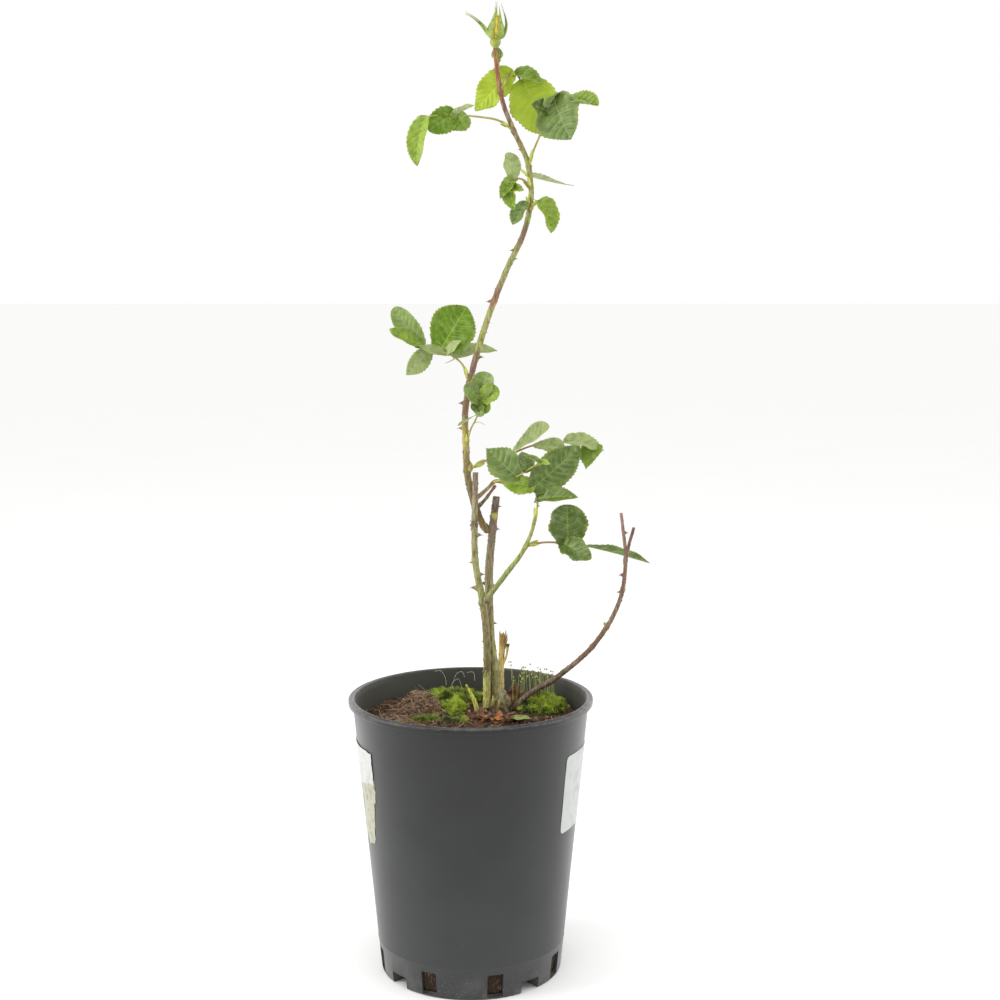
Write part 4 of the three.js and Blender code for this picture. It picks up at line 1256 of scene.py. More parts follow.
leafletColumns = ("along", "turn", "rise", "long", "wide", "roll", "fold", "arch", "look")
leaves = {
    "topLeaf": {
        "node": "top_leaf", "limb": "tallShoot", "height": 710,
        "stalk": [(28, 4, 721), (34, 12, 728), (42, 9, 719)],
        "leaflets": [
            (0.58, 165, -45, 42, 26, -80, 6, 20, "backlit", dict(lobe=2)),
            (1, -3, -62, 48, 40, 85, 6, 15, "backlit", dict(lobe=3)),
            (0.78, -18, -22, 23, 17, 50, 20, 50, "fresh", dict(cup=(50, 40), hook=-30, wave=0.03, lobe=3)),
        ],
    },
    "upperRightLeaf": {
        "node": "upper_right_leaf", "limb": "tallShoot", "height": 654,
        "stalk": [(50, -6, 666), (55, -9, 678), (62, -10, 699), (74, -12, 703)],
        "leaflets": [
            (0.88, -42, -62, 33, 43, 80, 10, 24, "grey", dict(lobe=6, wave=0.04, peak=0.42, point=0.45)),
            (0.72, -154, 19, 15, 16, -70, 10, 20, "deep"),
            (0.8, -56, 40, 15, 16, 30, 10, 40, "grey", dict(cup=(20, 20), wave=0.02)),
            (0.96, -36, -8, 35, 20, 40, 30, 10, "fresh", dict(peak=0.64, point=0.05, cup=(20, 40))),
        ],
    },
    "upperLeftLeaf": {
        "node": "upper_left_leaf", "limb": "tallShoot", "height": 682, "wings": 0.7,
        "stalk": [(23, -4, 689), (11, -9, 691), (-13, -19, 692), (-26, -25, 691), (-33, -27, 689)],
        "leaflets": [
            (0.57, -150, -42, 19, 19, -72, 12, 20, "fresh", dict(cup=(10, 10), wave=0.02, point=0.8)),
            (0.7, -162, -32, 24, 21, -80, 8, 30, "rich", dict(cup=(10, 20), wave=0.02, point=0.1, lobe=3)),
            (0.69, -44, 14, 24, 10, 20, 40, 0, "pale", dict(cup=(20, 20))),
            (1, -150, -77, 39, 18, -40, 18, 60, "fresh", dict(cup=(30, 15), peak=0.45, hook=20, wave=0.02)),
        ],
    },
    "middleLeftLeaf": {
        "node": "middle_left_leaf", "limb": "tallShoot", "height": 636,
        "stalk": [(43, -8, 643), (36, -14, 644), (30, -18, 638)],
        "leaflets": [
            (0.84, 103, 75, 25, 16, 10, 12, 20, "pale", dict(peak=0.58, point=0.1, cup=(30, 10))),
            (0.73, -145, -48, 21, 13, -50, 25, 60, "fresh", dict(cup=(50, 10), wave=0.04)),
            (1, -32, -13, 16, 10, 60, 20, 0, "fresh", dict(cup=(50, 20))),
            (0.98, -46, -73, 21, 14, 60, 20, 30, "fresh", dict(cup=(50, 20), wave=0.04)),
        ],
    },
    "smallLeftLeaf": {
        "node": "small_left_leaf", "limb": "tallShoot", "height": 624, "stalk": [(44, -5, 626)],
        "leaflets": [
            (1, -146, -54, 22, 14, -40, 15, 20, "grey", dict(peak=0.52, point=0.3, cup=(40, 0))),
        ],
    },
    "smallBackLeaf": {
        "node": "small_back_leaf", "limb": "tallShoot", "height": 647,
        "stalk": [(44, 3, 648.5), (48, 8, 647.5)],
        "leaflets": [
            (1, 29, -9, 42, 10, 10, 30, -10, "pale", dict(peak=0.2, point=1.4, cup=(20, 50))),
        ],
    },
    "smallRightLeaf": {
        "node": "small_right_leaf", "limb": "tallShoot", "height": 624, "stalk": [(54, -6, 626)],
        "leaflets": [
            (1, -45, -58, 29, 20, 22, 24, 85, "fresh", dict(cup=(40, 30), wave=0.05, hook=20)),
        ],
    },
    "leftLeaf": {
        "node": "left_leaf", "limb": "tallShoot", "height": 484,
        "stalk": [(-7, 20, 499), (-16, 23, 506), (-26, 27, 509.5), (-39, 32, 513)],
        "leaflets": [
            (1, 153, 48, 42, 20, -75, 15, 20, "grey", dict(peak=0.5, point=0.08, cup=(50, 0), wave=0.03)),
            (0.98, -167, 24, 33, 13, -60, 10, 10, "fresh",
             dict(peak=0.6, point=0.3, hook=-25, cup=(30, 0))),
            (0.72, -5, 58, 43, 39, 82, 6, 10, "rich",
             dict(lobe=2, cup=(0, 6), wave=0.02, peak=0.55, point=0.25)),
            (0.86, -149, -43, 32, 17, -80, 10, 20, "pale",
             dict(peak=0.52, point=0.5, cup=(8, 8), wave=0.02)),
            (0.6, -38, 34, 20, 10, 70, 10, 10, "pale", dict(cup=(10, 10))),
            (0.62, -163, 14, 24, 10, -55, 15, -20, "pale", dict(cup=(10, 10), wave=0.02, lobe=5)),
            (0.45, 32, 6, 42, 16, 35, 20, 30, "pale", dict(cup=(20, 20), wave=0.04)),
        ],
    },
    "frontLeaf": {
        "node": "front_leaf", "limb": "tallShoot", "height": 431,
        "stalk": [(0, 14, 446), (6, 8, 459), (8, 5, 471)],
        "leaflets": [
            (1, -10, 76, 24, 20, 85, 14, 40, "grey",
             dict(peak=0.6, point=0.02, cup=(10, 15), wave=0.03, lobe=2)),
            (1, -25, 28, 20, 18, 85, 18, 30, "fresh",
             dict(peak=0.6, point=0.02, cup=(20, 20), wave=0.04, lobe=2)),
            (0.98, -155, 46, 20, 19, -85, 18, 30, "grey",
             dict(peak=0.55, point=0.1, cup=(20, 10), wave=0.03, lobe=2)),
            (0.94, -40, -25, 13, 12, 80, 10, 30, "fresh", dict(peak=0.6, point=0.02, lobe=2)),
            (0.96, -60, -66, 13, 13, 80, 10, 30, "grey", dict(peak=0.6, point=0.02, lobe=2)),
            (0.94, -150, -30, 10, 11, -80, 10, 30, "deep", dict(peak=0.55, point=0.1, lobe=1)),
            (0.74, -174, -30, 20, 3, -60, 20, 0, "pale", dict(peak=0.8, point=0.2)),
        ],
    },
    "rightLeaf": {
        "node": "right_leaf", "limb": "tallShoot", "height": 411,
        "stalk": [
            (6, 20, 417), (16, 19, 422), (31, 20, 425), (50, 24, 432), (80, 31, 434.5), (104, 28, 431),
        ],
        "leaflets": [
            (0.34, -20, 36, 43, 18, 55, 20, 10, "pale",
             dict(peak=0.74, point=0.05, cup=(10, 20), wave=0.04)),
            (0.52, -7, -3, 27, 15, 60, 15, 20, "pale", dict(peak=0.7, point=0.05, cup=(10, 20))),
            (0.79, -12, -13, 31, 18, 40, 20, 40, "pale", dict(peak=0.35, point=0.5, cup=(10, 20), lobe=4)),
            (0.98, -128, -56, 23, 24, 5, 8, 10, "fresh", dict(cup=(8, 8), peak=0.3, point=0.9, wave=0.02)),
        ],
    },
    "twigLeaf": {
        "node": "twig_leaf", "limb": "upperTwig", "height": 403.5, "wings": 0.5,
        "stalk": [(37, -3, 410), (50, -12, 419), (60, -19, 424)],
        "leaflets": [
            (0.45, 158, 40, 35, 29, -62, 18, 15, "grey", dict(cup=(15, 20), wave=0.03, lobe=3, point=0.8)),
            (0.64, 110, 60, 18, 17, 0, 15, 20, "deep", dict(cup=(30, 30), wave=0.03)),
            (0.92, 170, 24, 17, 7, -40, 30, 0, "grey", dict(cup=(30, 30))),
            (0.94, -51, 1, 11, 7, 60, 20, 40, "fresh", dict(cup=(50, 50))),
        ],
    },
    "shootLeaf": {
        "node": "shoot_leaf", "limb": "greenShoot", "height": 374,
        "stalk": [(54, 0, 386), (53, 0, 395), (51, 0, 402)],
        "leaflets": [
            (0.58, -29, 7, 38, 19, 45, 18, 25, "deep", dict(cup=(10, 30), wave=0.03)),
            (0.97, 12, 40, 51, 30, 80, 10, 16, "deep",
             dict(lobe=3, cup=(10, 10), wave=0.04, peak=0.45, point=0.4)),
            (0.97, 162, 7, 29, 17, -75, 12, 30, "fresh", dict(lobe=1, cup=(20, 20))),
        ],
    },
    "lowRightLeaf": {
        "node": "low_right_leaf", "limb": "greenShoot", "height": 352,
        "stalk": [(56, 4, 355), (69, 6, 355), (96, 10, 351)],
        "leaflets": [
            (0.68, 95, 77, 33, 33, 0, 8, 20, "deep",
             dict(peak=0.5, point=0.02, lobe=5, cup=(15, 15), wave=0.07)),
            (0.58, -41, -18, 32, 20, 60, 15, 40, "deep",
             dict(peak=0.5, point=0.2, cup=(10, 30), wave=0.08)),
            (1, 4, -16, 54, 14, 20, 25, 6, "deep", dict(peak=0.55, cup=(10, 30), wave=0.1)),
        ],
    },
}
stalk = {"step": 0.9, "foot": 0.95, "loss": 0.42, "swelling": 0.75, "swellingLength": 3.2}
blade = {
    "thick": 0.34,
    "toothStep": 2.5,  # between teeth along the edge
    "toothRows": 4,  # rows of faces in a tooth
    "toothDepth": 1.5,
    "veinTeeth": 2,  # teeth between two side veins
    "veinLean": 0.24,  # how far side veins run forward, as a share of the length
    "quilt": 0.8,  # how high the blade bulges between side veins
    "columnWidth": 1.35,
    "midrib": 0.5,  # half the midrib's width at the foot
    "smoothRows": 14,  # rows of faces in a blade without teeth
    "fullWidth": 26,  # narrower leaflets have finer teeth and quilting
    # what a leaflet may have of its own
    "peak": 0.42,  # the share of the length where it is widest
    "point": 0.5,  # how sharp its tip is
    "cup": (12, 12),  # how far each half rolls in
    "wave": 0.06,  # along the edge
    "lobe": 1,  # at the foot
    "hook": 0,  # bends the tip
}


class Palette:  # the finishes of one piece, in the order that its faces number them
    def __init__(self):
        self.finishes = []

    def number(self, finish):
        if finish not in self.finishes:
            self.finishes.append(finish)
        return self.finishes.index(finish)


def bladeSpine(want):  # how far forward and how high the midrib runs, at even shares of its length
    bend = math.radians(want["arch"] or 1) / 2
    hook = math.radians(want["hook"])
    shares = np.linspace(0, 1, 61)
    slopes = bend * (2 * shares - 1) + hook * np.clip((shares - 0.5) / 0.5, 0, 1) ** 2
    step = want["long"] * bend / math.sin(bend) / 60
    middles = (slopes[1:] + slopes[:-1]) / 2
    forward = np.concatenate([[0], np.cumsum(np.cos(middles) * step)]) - 1
    high = np.concatenate([[0], np.cumsum(-np.sin(middles) * step)])
    return shares, slopes, forward, high


def growBlade(target, foot, leaflet, palette, rng, toothed=True):
    want = {**blade, **leaflet}
    long, wide = want["long"], want["wide"]
    size = min(1, wide / want["fullWidth"])
    teeth = max(5, round(long / want["toothStep"]))
    perTooth = want["toothRows"]
    rows = teeth * perTooth if toothed else want["smoothRows"]
    perVein = perTooth * want["veinTeeth"]
    half = max(3, round(wide / 2 / want["columnWidth"]))
    ahead = heading(want["turn"], want["rise"])
    up = heading(want["turn"], want["rise"] + 90)
    up.rotate(Matrix.Rotation(math.radians(want["roll"]), 3, ahead))
    side = ahead.cross(up)
    shares, *spine = bladeSpine(want)
    fold = math.radians(want["fold"])
    cups = [max(0.03, math.radians(cup)) for cup in want["cup"]]
    power = math.log(0.5) / math.log(want["peak"])
    ripples, phase = rng.uniform(1.6, 2.6), rng.uniform(0, math.tau)
    toothSizes = [rng.uniform(0.7, 1.25) for _ in range(teeth + 1)]
    tone = rng.random()

    def spot(row, column):  # share of the length, how far out towards the edge, half width, and width here
        j = column - half
        along = row / rows
        edge = abs(j) / half
        lean = want["veinLean"] * edge**1.2 * math.sin(math.pi * along**0.9) if toothed else 0
        share = min(1, along + lean)
        reach = wide / 2 * math.sin(math.pi * share**power) ** (0.45 + want["point"] * share)
        if toothed and 0.04 < along < 0.985:
            saw = (row % perTooth) / perTooth - 0.35
            reach += want["toothDepth"] * size * toothSizes[row // perTooth] * saw * max(0, edge - 0.7) / 0.3
        reach = max(reach, 0.12)
        rib = min(want["midrib"] * (0.35 + 0.65 * size) * (1 - 0.75 * share), reach * 0.5)
        return share, edge, reach, 0 if j == 0 else rib + (reach - rib) * (abs(j) - 1) / (half - 1)

    def place(row, column):
        j = column - half
        share, edge, reach, width = spot(row, column)
        radius = wide / 2 / cups[0 if j < 0 else 1]
        slant = fold + width / radius
        vein = math.sin(math.pi * (row % perVein) / perVein) if toothed else 0.5
        relief = want["quilt"] * size * (vein - 0.5) * math.sin(math.pi * min(1, width / reach) ** 0.7)
        relief -= 0.3 * size * (1 - share) * (j == 0)
        ripple = math.sin(share * ripples * math.tau + phase + 1.9 * (j < 0)) * math.sin(math.pi * share)
        relief += want["wave"] * wide * edge**2.2 * ripple
        bend, forward, high = [float(np.interp(share, shares, line)) for line in spine]
        forward -= want["lobe"] * edge**1.6 * max(0, 1 - share / 0.25) ** 2

        def at(offset):  # a point on the curved half, offset along its normal
            raised = radius * (math.cos(fold) - math.cos(slant)) + offset * math.cos(slant)
            across = radius * (math.sin(slant) - math.sin(fold)) - offset * math.sin(slant)
            across = math.copysign(across, j) if j else 0
            point = foot + ahead * (forward + raised * math.sin(bend)) + up * (high + raised * math.cos(bend))
            return point + side * across

        thick = want["thick"] * min(1, 0.45 + reach / 4)
        ridge = 0.1 * size * (row % perVein in (0, 1)) * (1 - edge)  # under the veins and the midrib
        ridge += (0.5 * size * (1 - share) + 0.1) * (j == 0)
        return at(relief + thick / 2), at(relief - thick / 2 - ridge)

    def shade(row, column):  # vein, distance to the edge, and the leaflet's own tone
        edge = spot(row, column)[1]
        aside = min(row % perVein, perVein - row % perVein) * long / rows
        veined = math.exp(-(aside / 0.55) ** 2) * (1 - edge**3) if toothed else 0
        ribbed = (1, 0.6)[abs(column - half)] if abs(column - half) < 2 else 0
        return (max(veined * 0.8, ribbed), edge, tone, 1)

    look = leafLooks[want["look"]]
    front, back = palette.number(look["upper"]), palette.number(look["under"])
    growSheet(target, rows, 2 * half, place, front, back, shade)


def growStipules(target, route, palette, rng, size):  # two narrow pointed wings at a stalk's foot
    start = pointAt(route, 0.06 if len(route) > 30 else 0.1)
    ahead = (pointAt(route, 0.35) - start).normalized()
    rise = math.degrees(math.asin(max(-1, min(1, ahead.z))))
    turn = math.degrees(math.atan2(ahead.y, ahead.x))
    for side in (-1, 1):
        wing = dict(
            turn=turn + side * 18, rise=rise + 8 * side + 8, long=rng.uniform(10, 13) * size,
            wide=3.4 * size, roll=side * 55, fold=6, arch=-20, look="stipule", wave=0.02,
        )
        growBlade(target, start, wing, palette, rng, toothed=False)


def makeLeaf(name, leaf, seed):
    rng = random.Random(seed)
    route = smoothRoute([level(limbRoutes[leaf["limb"]], leaf["height"]), *leaf["stalk"]], stalk["step"])
    blades, stalks = bmesh.new(), bmesh.new()
    palette = Palette()
    for row in leaf["leaflets"]:
        leaflet = dict(zip(leafletColumns, row))
        leaflet.update(*row[len(leafletColumns):])
        growBlade(blades, pointAt(route, leaflet["along"]), leaflet, palette, rng)
    growStipules(blades, route, palette, rng, leaf.get("wings", 1))
    long = len(route)

    def stalkRadius(share, turn, point):
        swelling = math.exp(-(share * long * stalk["step"] / stalk["swellingLength"]) ** 2)
        return stalk["foot"] - stalk["loss"] * share + stalk["swelling"] * swelling

    growTube(stalks, route, stalkRadius, 10)
    for _ in range(3 if long > 25 else 0):
        share = rng.uniform(0.25, 0.9)
        prickle = (pointAt(route, share).z, rng.uniform(0, 360), rng.uniform(0.7, 1.4))
        growThorn(stalks, route, 0.7, prickle, 1, 1)
    bark = plain["stalkGreen" if seed % 3 else "stalkRed"]
    makePiece(stalks, name + "Stalk", [bark, plain["thornRed"]], "leaves")
    piece = makePiece(blades, name, palette.finishes, "leaves", [leaf["node"]])
    return len(piece.data.polygons)


faceCount = sum(makeLeaf(name, leaf, seed) for seed, (name, leaf) in enumerate(leaves.items()))
print("leaf faces:", faceCount)

fallenSeed = 41
fallenUsual = {"slot": "dry_leaves", "roll": 0, "wave": 0.14, "cup": (40, 20)}
fallenLeaves = {
    "fallenLeafBrown": dict(
        node="fallen_leaf_brown", at=(0, -4), turn=-20, rise=4, long=16, wide=10, fold=25, arch=-40,
        look="brown",
    ),
    "fallenLeafOrange": dict(
        node="fallen_leaf_orange", at=(19, -11), turn=-60, rise=15, long=14, wide=10, fold=15, arch=-30,
        look="orange",
    ),
    "fallenLeafGreen": dict(
        node="fallen_leaf_green", at=(33, -6), turn=-30, rise=6, long=19, wide=14, fold=12, arch=-25,
        look="grey", slot="leaves", wave=0.05, cup=(12, 12), lobe=3, point=0.3,
    ),
    "fallenLeafBack": dict(
        node="fallen_leaf_back", at=(34, 58), turn=20, rise=25, long=13, wide=9, fold=25, arch=-30,
        look="brown",
    ),
}
litter = [  # more dry scraps round the crown: place, turn, rise, length, width, look; the first ones stand
    ((36, 42), 80, 68, 19, 13, "brown"), ((40, 40), 40, 55, 14, 9, "brown"),
    ((3, -8), 80, 50, 10, 8, "brown"), ((10, -12), 20, 45, 10, 8, "orange"),
    ((22, -16), 60, 62, 12, 10, "orange"), ((27, -8), -20, 30, 12, 8, "brown"),
    ((-3, -2), 150, 25, 9, 7, "orange"), ((14, 44), 120, 20, 10, 6, "brown"),
    ((14, -6), 200, 22, 10, 7, "brown"), ((9, 8), 100, 30, 10, 7, "brown"),
    ((30, 4), 10, 28, 10, 8, "brown"), ((36, -2), -10, 25, 11, 8, "brown"),
]


def makeFallenLeaves():
    rng = random.Random(fallenSeed)
    for name, own in fallenLeaves.items():
        leaf = {**fallenUsual, **own}
        bm = bmesh.new()
        palette = Palette()
        growBlade(bm, Vector((*leaf["at"], soilTop + 1.6)), leaf, palette, rng, toothed=False)
        makePiece(bm, name, palette.finishes, leaf["slot"], [leaf["node"]])
    bm = bmesh.new()
    palette = Palette()
    for (x, y), turn, rise, long, wide, look in litter:
        scrap = dict(
            turn=turn, rise=rise, long=long, wide=wide, roll=rng.uniform(-30, 30), fold=20, arch=-35,
            look=look, wave=0.16, cup=(rng.uniform(10, 80), rng.uniform(10, 80)), point=0.2,
        )
        growBlade(bm, Vector((x, y, soilHeight(x, y) + 0.8)), scrap, palette, rng, toothed=False)
    makePiece(bm, "leafScraps", palette.finishes, "dry_leaves")
    print("fallen leaves made")


makeFallenLeaves()


# Buds: a hip, folded petals, and five sepals that clasp them and end in long points. Outlines and paths are
# radius and height over the root. A sepal has a turn, a width, how fast it slims to its point, and a path,
# and a tube has a route, a radius, a number of sides and a finish.

budFinishes = ["hipGreen", "sepalGreen", "petalYellow", "stalkGreen"]
tallRoute = limbRoutes["tallShoot"]
buds = {
    "topBud": {
        "node": "top_bud",
        "root": (20, 5, 744.6),
        "tip": (21.6, 5, 772),
        "hip": [(0, 0), (1.5, 0), (2.1, 1), (3.6, 2.8), (4.3, 4.8), (4.1, 6.4), (3.3, 7.6), (0, 7.8)],
        "petals": [
            (0, 7), (3, 7.4), (5.4, 9.5), (6.1, 11.8), (5.5, 15), (4, 19.4), (2.4, 23), (1.1, 25.6),
            (0, 26.6),
        ],
        "hipFinish": "hipGreen",
        "petalFinish": "petalYellow",
        "sepals": [
            (-40, 4.5, 1.3, [
                (3, 7.3), (6, 9.4), (7, 12.2), (6.3, 16), (4.5, 20.5), (3.4, 25), (2.6, 29), (1.9, 32),
            ]),
            (-140, 4.5, 1.3, [
                (3, 7.3), (6, 9.4), (7, 12.2), (6.2, 16), (4.3, 20.5), (2.6, 25), (1.4, 30), (1.6, 35.6),
            ]),
            (172, 5.4, 1.25, [
                (3, 7.3), (5.8, 9.4), (7.8, 13), (9.8, 16.6), (12.6, 19.6), (18, 23.4), (25, 27),
            ]),
            (96, 4.6, 2.2, [(3, 7.3), (6.2, 9.4), (7.2, 13), (6.2, 18), (4.2, 24), (3, 31), (2.4, 35.6)]),
            (14, 4.5, 2, [(3, 7.3), (6.4, 9.2), (8, 13), (8.6, 18.4), (7, 24.5), (4.6, 30), (3.1, 34)]),
        ],
        "tubes": [  # the longest sepal's keel, then the side points of the sepals
            ([(14.6, 6, 755.5), (8.6, 6, 763), (1.4, 6, 769), (-3, 6, 771)], taper(1.2, 1), 8, "sepalGreen"),
            ([(9.6, 6.2, 762.4), (6.4, 6, 767.6)], taper(1.1, 1, 0.5), 6, "sepalGreen"),
            ([(11.6, 3.6, 760), (8.4, 2.6, 764)], taper(1.1, 1, 0.5), 6, "sepalGreen"),
            ([(21.4, 1.4, 768), (19.8, 1.2, 776)], taper(1.1, 1, 0.5), 6, "sepalGreen"),
        ],
    },
    "smallBud": {
        "node": "small_bud",
        "root": (22.4, 11, 734.4),
        "tip": (21, 11.3, 748.3),
        "hip": [(0, 0), (0.9, 0), (1.9, 1), (2.6, 2.4), (2.3, 3.6), (0, 3.8)],
        "petals": [(0, 3.4), (2.6, 3.8), (4, 5.6), (3.6, 8), (1.9, 11), (0, 12.6)],
        "hipFinish": "sepalGreen",
        "petalFinish": "sepalGreen",
        "sepals": [
            (turn, 2.9, 1.2, [(1.9, 3.5), (4.1, 5), (4.4, 6.8), (3.3, 9.4), (1.3, 12), (0.7, 13.4)])
            for turn in range(-90, 270, 72)
        ],
        "tubes": [  # its stalk
            (
                [level(tallRoute, 716), (24, 7, 722), (23.4, 9.5, 729), (22.4, 11, 735)],
                bulge(0.95, -0.15, 0, 1), 12, "stalkGreen",
            ),
        ],
    },
}


def standBud(bm, root, tip):  # moves a shape made round the Z axis onto the bud's own axis
    axis = Vector(tip) - Vector(root)
    turn = Vector((0, 0, 1)).rotation_difference(axis).to_matrix().to_4x4()
    bmesh.ops.transform(bm, matrix=Matrix.Translation(root) @ turn, verts=bm.verts[:])


def growSepal(target, sepal, number):
    middle, widest, slim, path = sepal
    rows, half = 32, 4
    path = spaced(smoothRoute([(radius, 0, height) for radius, height in path], 0.4), 1)
    last = len(path) - 1

    def place(row, column):
        share = row / rows
        j = (column - half) / half
        i = round(share * last)
        point = path[i]
        ahead = (path[min(last, i + 1)] - path[max(0, i - 1)]).normalized()
        wide = widest * math.sin(math.pi * (0.12 + 0.88 * share) ** 0.62) ** slim + 0.24
        turn = math.radians(middle) + j * wide / max(point.x, 5.6)
        out = Vector((math.cos(turn), math.sin(turn), 0))
        normal = (out * ahead.z - lift(ahead.x)).normalized()
        keel = 0.3 * (1 - abs(j)) * (1 - share)
        top = out * point.x + lift(point.z) + normal * (0.2 + keel)
        return top, top - normal * (0.36 + keel * 0.5)

    growSheet(target, rows, 2 * half, place, number, number)


def growBudBody(target, outline, number, ridge):  # ridge is how far three folds stand out
    smoothLine = smoothRoute([(radius, 0, height) for radius, height in outline[1:-1]], 0.5)
    bm = lathe([outline[0], *[(max(point.x, 0.02), point.z) for point in smoothLine], outline[-1]], 48)
    for vert in bm.verts:
        turn = math.atan2(vert.co.y, vert.co.x)
        swell = 1 + ridge * math.cos(3 * turn + vert.co.z * 0.3)
        vert.co.x *= swell
        vert.co.y *= swell
    for face in bm.faces:
        face.material_index = number
    pour(bm, target)


def makeBuds():
    for name, bud in buds.items():
        whole = bmesh.new()
        growBudBody(whole, bud["hip"], budFinishes.index(bud["hipFinish"]), 0)
        growBudBody(whole, bud["petals"], budFinishes.index(bud["petalFinish"]), 0.06)
        for sepal in bud["sepals"]:
            growSepal(whole, sepal, budFinishes.index("sepalGreen"))
        standBud(whole, bud["root"], bud["tip"])
        for route, radiusAt, sides, finish in bud["tubes"]:
            growTube(whole, smoothRoute(route, 0.8), radiusAt, sides, budFinishes.index(finish))
        makePiece(whole, name, [plain[finish] for finish in budFinishes], "buds", [bud["node"]])
    print("buds made")


makeBuds()

eyes = [  # in the leaf joints: limb, height, turn, length and thickness
    ("tallShoot", 620, -40, 6.5, 1.7), ("tallShoot", 433, -60, 8, 2), ("tallShoot", 410, -20, 9, 2.5),
    ("tallShoot", 487, 200, 5, 1.5), ("tallShoot", 657, 120, 4.5, 1.4), ("tallShoot", 684, -90, 4.5, 1.4),
    ("leftCane", 338, 150, 3.4, 1.3), ("middleCane", 318, 200, 3.2, 1.2), ("brownCane", 290, 160, 3, 1.1),
    ("brownCane", 241, -30, 3, 1.1),
]
sprouts = [((19, 22, 212), 250, 12, 1.4), ((22, 20, 211), 290, 10, 1.3)]  # at the crown
hooks = [  # free points of the stipules
    [(-12, 23, 504), (-14, 23, 502.3), (-17.4, 22, 500.6), (-21, 21, 499.4)],
    [(2, 12, 450.5), (4, 10, 452.3), (7.8, 6, 452.9), (12, 4, 451)],
    [(53.5, -1, 389), (57, -3, 391), (60, -4, 394)],
]


def makeEyesAndHooks():
    rows = [(level(limbRoutes[limb], height), *rest) for limb, height, *rest in eyes]
    rows += [(Vector(at), *rest) for at, *rest in sprouts]
    bm = bmesh.new()
    for foot, turn, long, thick in rows:
        out = heading(turn)
        route = [foot + out * 1.2, foot + out * 2.7 + lift(long * 0.5), foot + out * 2.6 + lift(long)]
        growTube(bm, smoothRoute(route, 0.5), bulge(0.06, thick, 0.22, 0.76), 10)
    makePiece(bm, "eyes", [plain["stalkGreen"]], "green_bark")
    bm = bmesh.new()
    for route in hooks:
        growTube(bm, smoothRoute(route, 0.6), taper(0.45, 0.3), 8)
    makePiece(bm, "stipuleHooks", [plain["stalkGreen"]], "leaves")
    print("eyes and hooks made")


makeEyesAndHooks()


# Labels: the sticker is bare, and only scraps are left of the other one

labelThick = 0.3
sticker = {
    "node": "sticker",
    "heading": -18,
    "middle": 160.5,
    "wide": 52,
    "high": 65,
    "corner": 4,
    "proud": 0.3,  # how far it stands out from the wall
}
tornLabel = {"heading": 196, "middle": 158, "wide": 56, "high": 90}
tornSheets = [  # name, outline, seed, how rough the tear is, how far it stands out, finish and nodes
    (
        "tornLabelTop",
        [(-28, 37), (-28, 9), (-4, 5), (9, 8), (27, 11), (27, 37)],
        2, 1.3, 0.55, tornFilm, ["torn_label"],
    ),
    (
        "tornLabelRest",
        [(-28, 33), (-28, -27), (-11, -34), (5, -44), (19, -41), (22, -18), (28, 0), (26, 31)],
        6, 1.8, 0.2, tornPaper, [],
    ),
]


def wrapLabel(bm, label, proud):  # lays a flat label in the X-Z plane round the pot's wall
    sliceAcross(bm, (1, 0, 0), np.arange(-label["wide"] / 2 + 1, label["wide"] / 2, 2))
    sliceAcross(bm, (0, 0, 1), np.arange(-label["high"] / 2 + 3, label["high"] / 2, 6))
    faceOutwards(bm)
    for vert in bm.verts:
        height = label["middle"] + vert.co.z
        wrinkle = max(0, noise.noise(Vector((vert.co.x, 0, vert.co.z)) * 0.09)) * 0.35
        radius = wallRadius(height) + proud + wrinkle
        turn = math.radians(label["heading"]) + vert.co.x / wallRadius(label["middle"])
        vert.co = (radius * math.cos(turn), radius * math.sin(turn), height)
    outwards = heading(label["heading"]) - lift(wallSlope)
    face = max(bm.faces, key=lambda item: item.calc_area())
    if face.normal.dot(outwards) < 0:
        bmesh.ops.reverse_faces(bm, faces=bm.faces[:])
    bmesh.ops.solidify(bm, geom=bm.faces[:], thickness=labelThick)
    faceOutwards(bm)


def flatSheet(wide, high, corner):
    bm = bmesh.new()
    bmesh.ops.create_grid(bm, x_segments=1, y_segments=1, size=0.5)
    bmesh.ops.transform(bm, matrix=Matrix.Rotation(math.pi / 2, 4, "X"), verts=bm.verts[:])
    bmesh.ops.scale(bm, vec=(wide, 1, high), verts=bm.verts[:])
    bmesh.ops.bevel(
        bm, geom=bm.verts[:], offset=corner, affect="VERTICES", segments=6, profile=0.5, material=-1
    )
    return bm


def tornSheet(outline, seed, rough):  # a sheet whose outline is torn between the given corners
    bm = bmesh.new()
    bm.faces.new([bm.verts.new((x, 0, z)) for x, z in outline])
    bmesh.ops.subdivide_edges(bm, edges=bm.edges[:], cuts=14, use_grid_fill=False)
    for vert in bm.verts:
        at = Vector((vert.co.x, seed, vert.co.z))
        vert.co.x += (noise.noise(at * 0.35) + 0.5 * noise.noise(at * 1.1)) * rough
        vert.co.z += (noise.noise(at * 0.31 + Vector((9, 0, 0))) + 0.5 * noise.noise(at * 1.3)) * rough
    return bm


def placeLabel(bm, label, proud, name, finish, nodes):
    wrapLabel(bm, label, proud)
    makePiece(bm, name, [finish], "label_paper", nodes, sharpAngle=40)


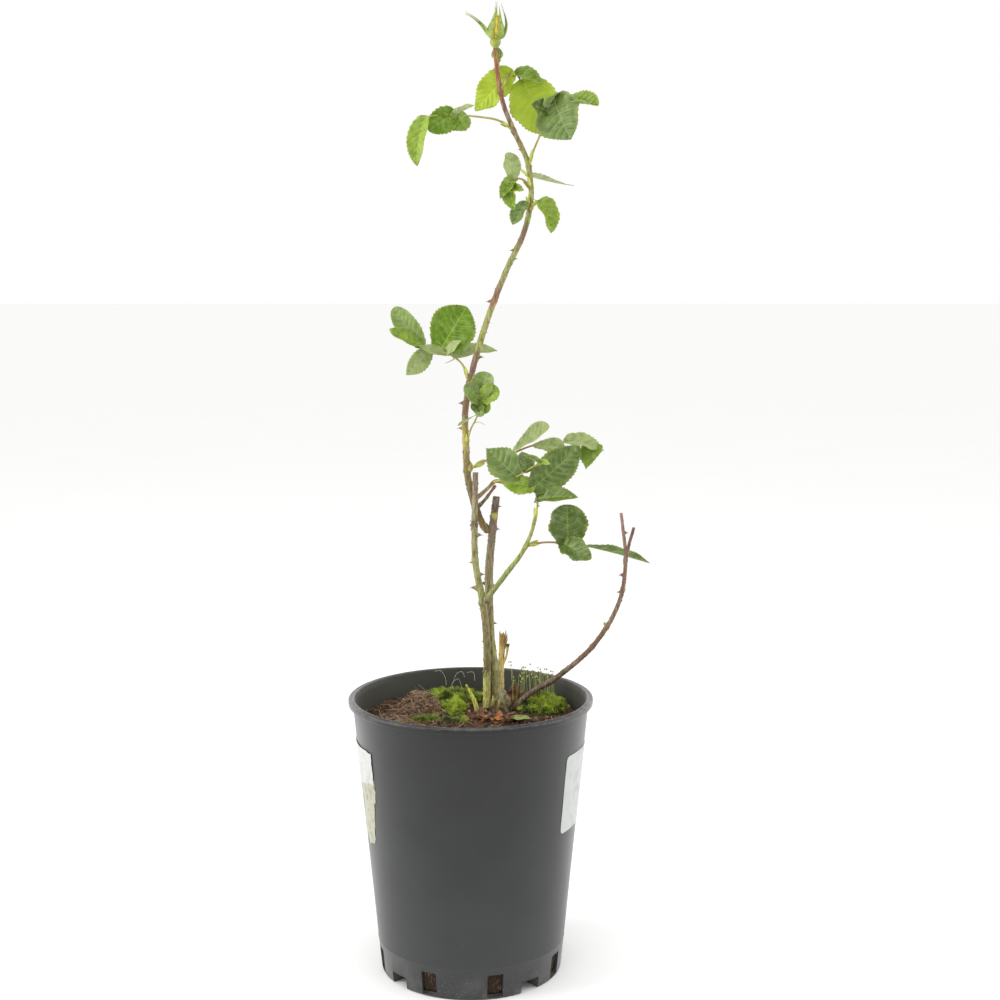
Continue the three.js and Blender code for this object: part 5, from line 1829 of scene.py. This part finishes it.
def makeLabels():
    sheet = flatSheet(sticker["wide"], sticker["high"], sticker["corner"])
    placeLabel(sheet, sticker, sticker["proud"], "blankSticker", stickerFilm, [sticker["node"]])
    for name, outline, seed, rough, proud, finish, nodes in tornSheets:
        placeLabel(tornSheet(outline, seed, rough), tornLabel, proud, name, finish, nodes)
    print("labels made")


makeLabels()


# Camera, floor and light

camera = {
    "at": (23.9, -1283, 571),
    "pitch": 8,  # degrees down
    "lens": 57.9,
    "sensor": 36,
}
lights = {  # in metres and watts
    "aim": (0.02, 0, 0.4),
    "boxes": {
        "leftBox": {"at": (-1.5, -0.3, 0.9), "size": (0.9, 1.6), "power": 18},
        "rightBox": {"at": (1.5, -0.1, 0.8), "size": (0.8, 1.5), "power": 9},
        "topBox": {"at": (0.1, -0.5, 2.1), "size": (1.2, 1.2), "power": 8},
    },
}


def makeCamera():
    data = bpy.data.cameras.new("camera")
    data.lens = camera["lens"]
    data.sensor_width = camera["sensor"]
    made = addObject("camera", data)
    made.location = Vector(camera["at"]) * mm
    made.rotation_euler = (math.radians(90 - camera["pitch"]), 0, 0)
    bpy.context.scene.camera = made


def softLight(name, box):
    data = bpy.data.lights.new(name, "AREA")
    data.shape = "RECTANGLE"
    data.size, data.size_y = box["size"]
    data.energy = box["power"]
    made = addObject(name, data)
    made.location = box["at"]
    made.rotation_euler = (Vector(lights["aim"]) - made.location).to_track_quat("-Z", "Y").to_euler()


def makeStudio():
    world = bpy.data.worlds.new("studio")
    world.use_nodes = True
    backdrop = world.node_tree.nodes["Background"]
    backdrop.inputs["Color"].default_value = (1, 1, 1, 1)
    backdrop.inputs["Strength"].default_value = 1
    bpy.context.scene.world = world
    for name, box in lights["boxes"].items():
        softLight(name, box)
    finish = Finish("paleFloor", Roughness=0.8)
    finish.paint(finish.blend(finish.noise(300, 3), colour("fbfbfa"), colour("f8f8f7")))
    bm = bmesh.new()
    bmesh.ops.create_grid(bm, x_segments=1, y_segments=1, size=30)
    floor = addObject("floor", asMesh(bm, "floor"))
    floor.data.materials.append(finish.material)


makeCamera()
makeStudio()
bpy.context.scene.view_settings.view_transform = "Standard"
print("camera, floor and light made")
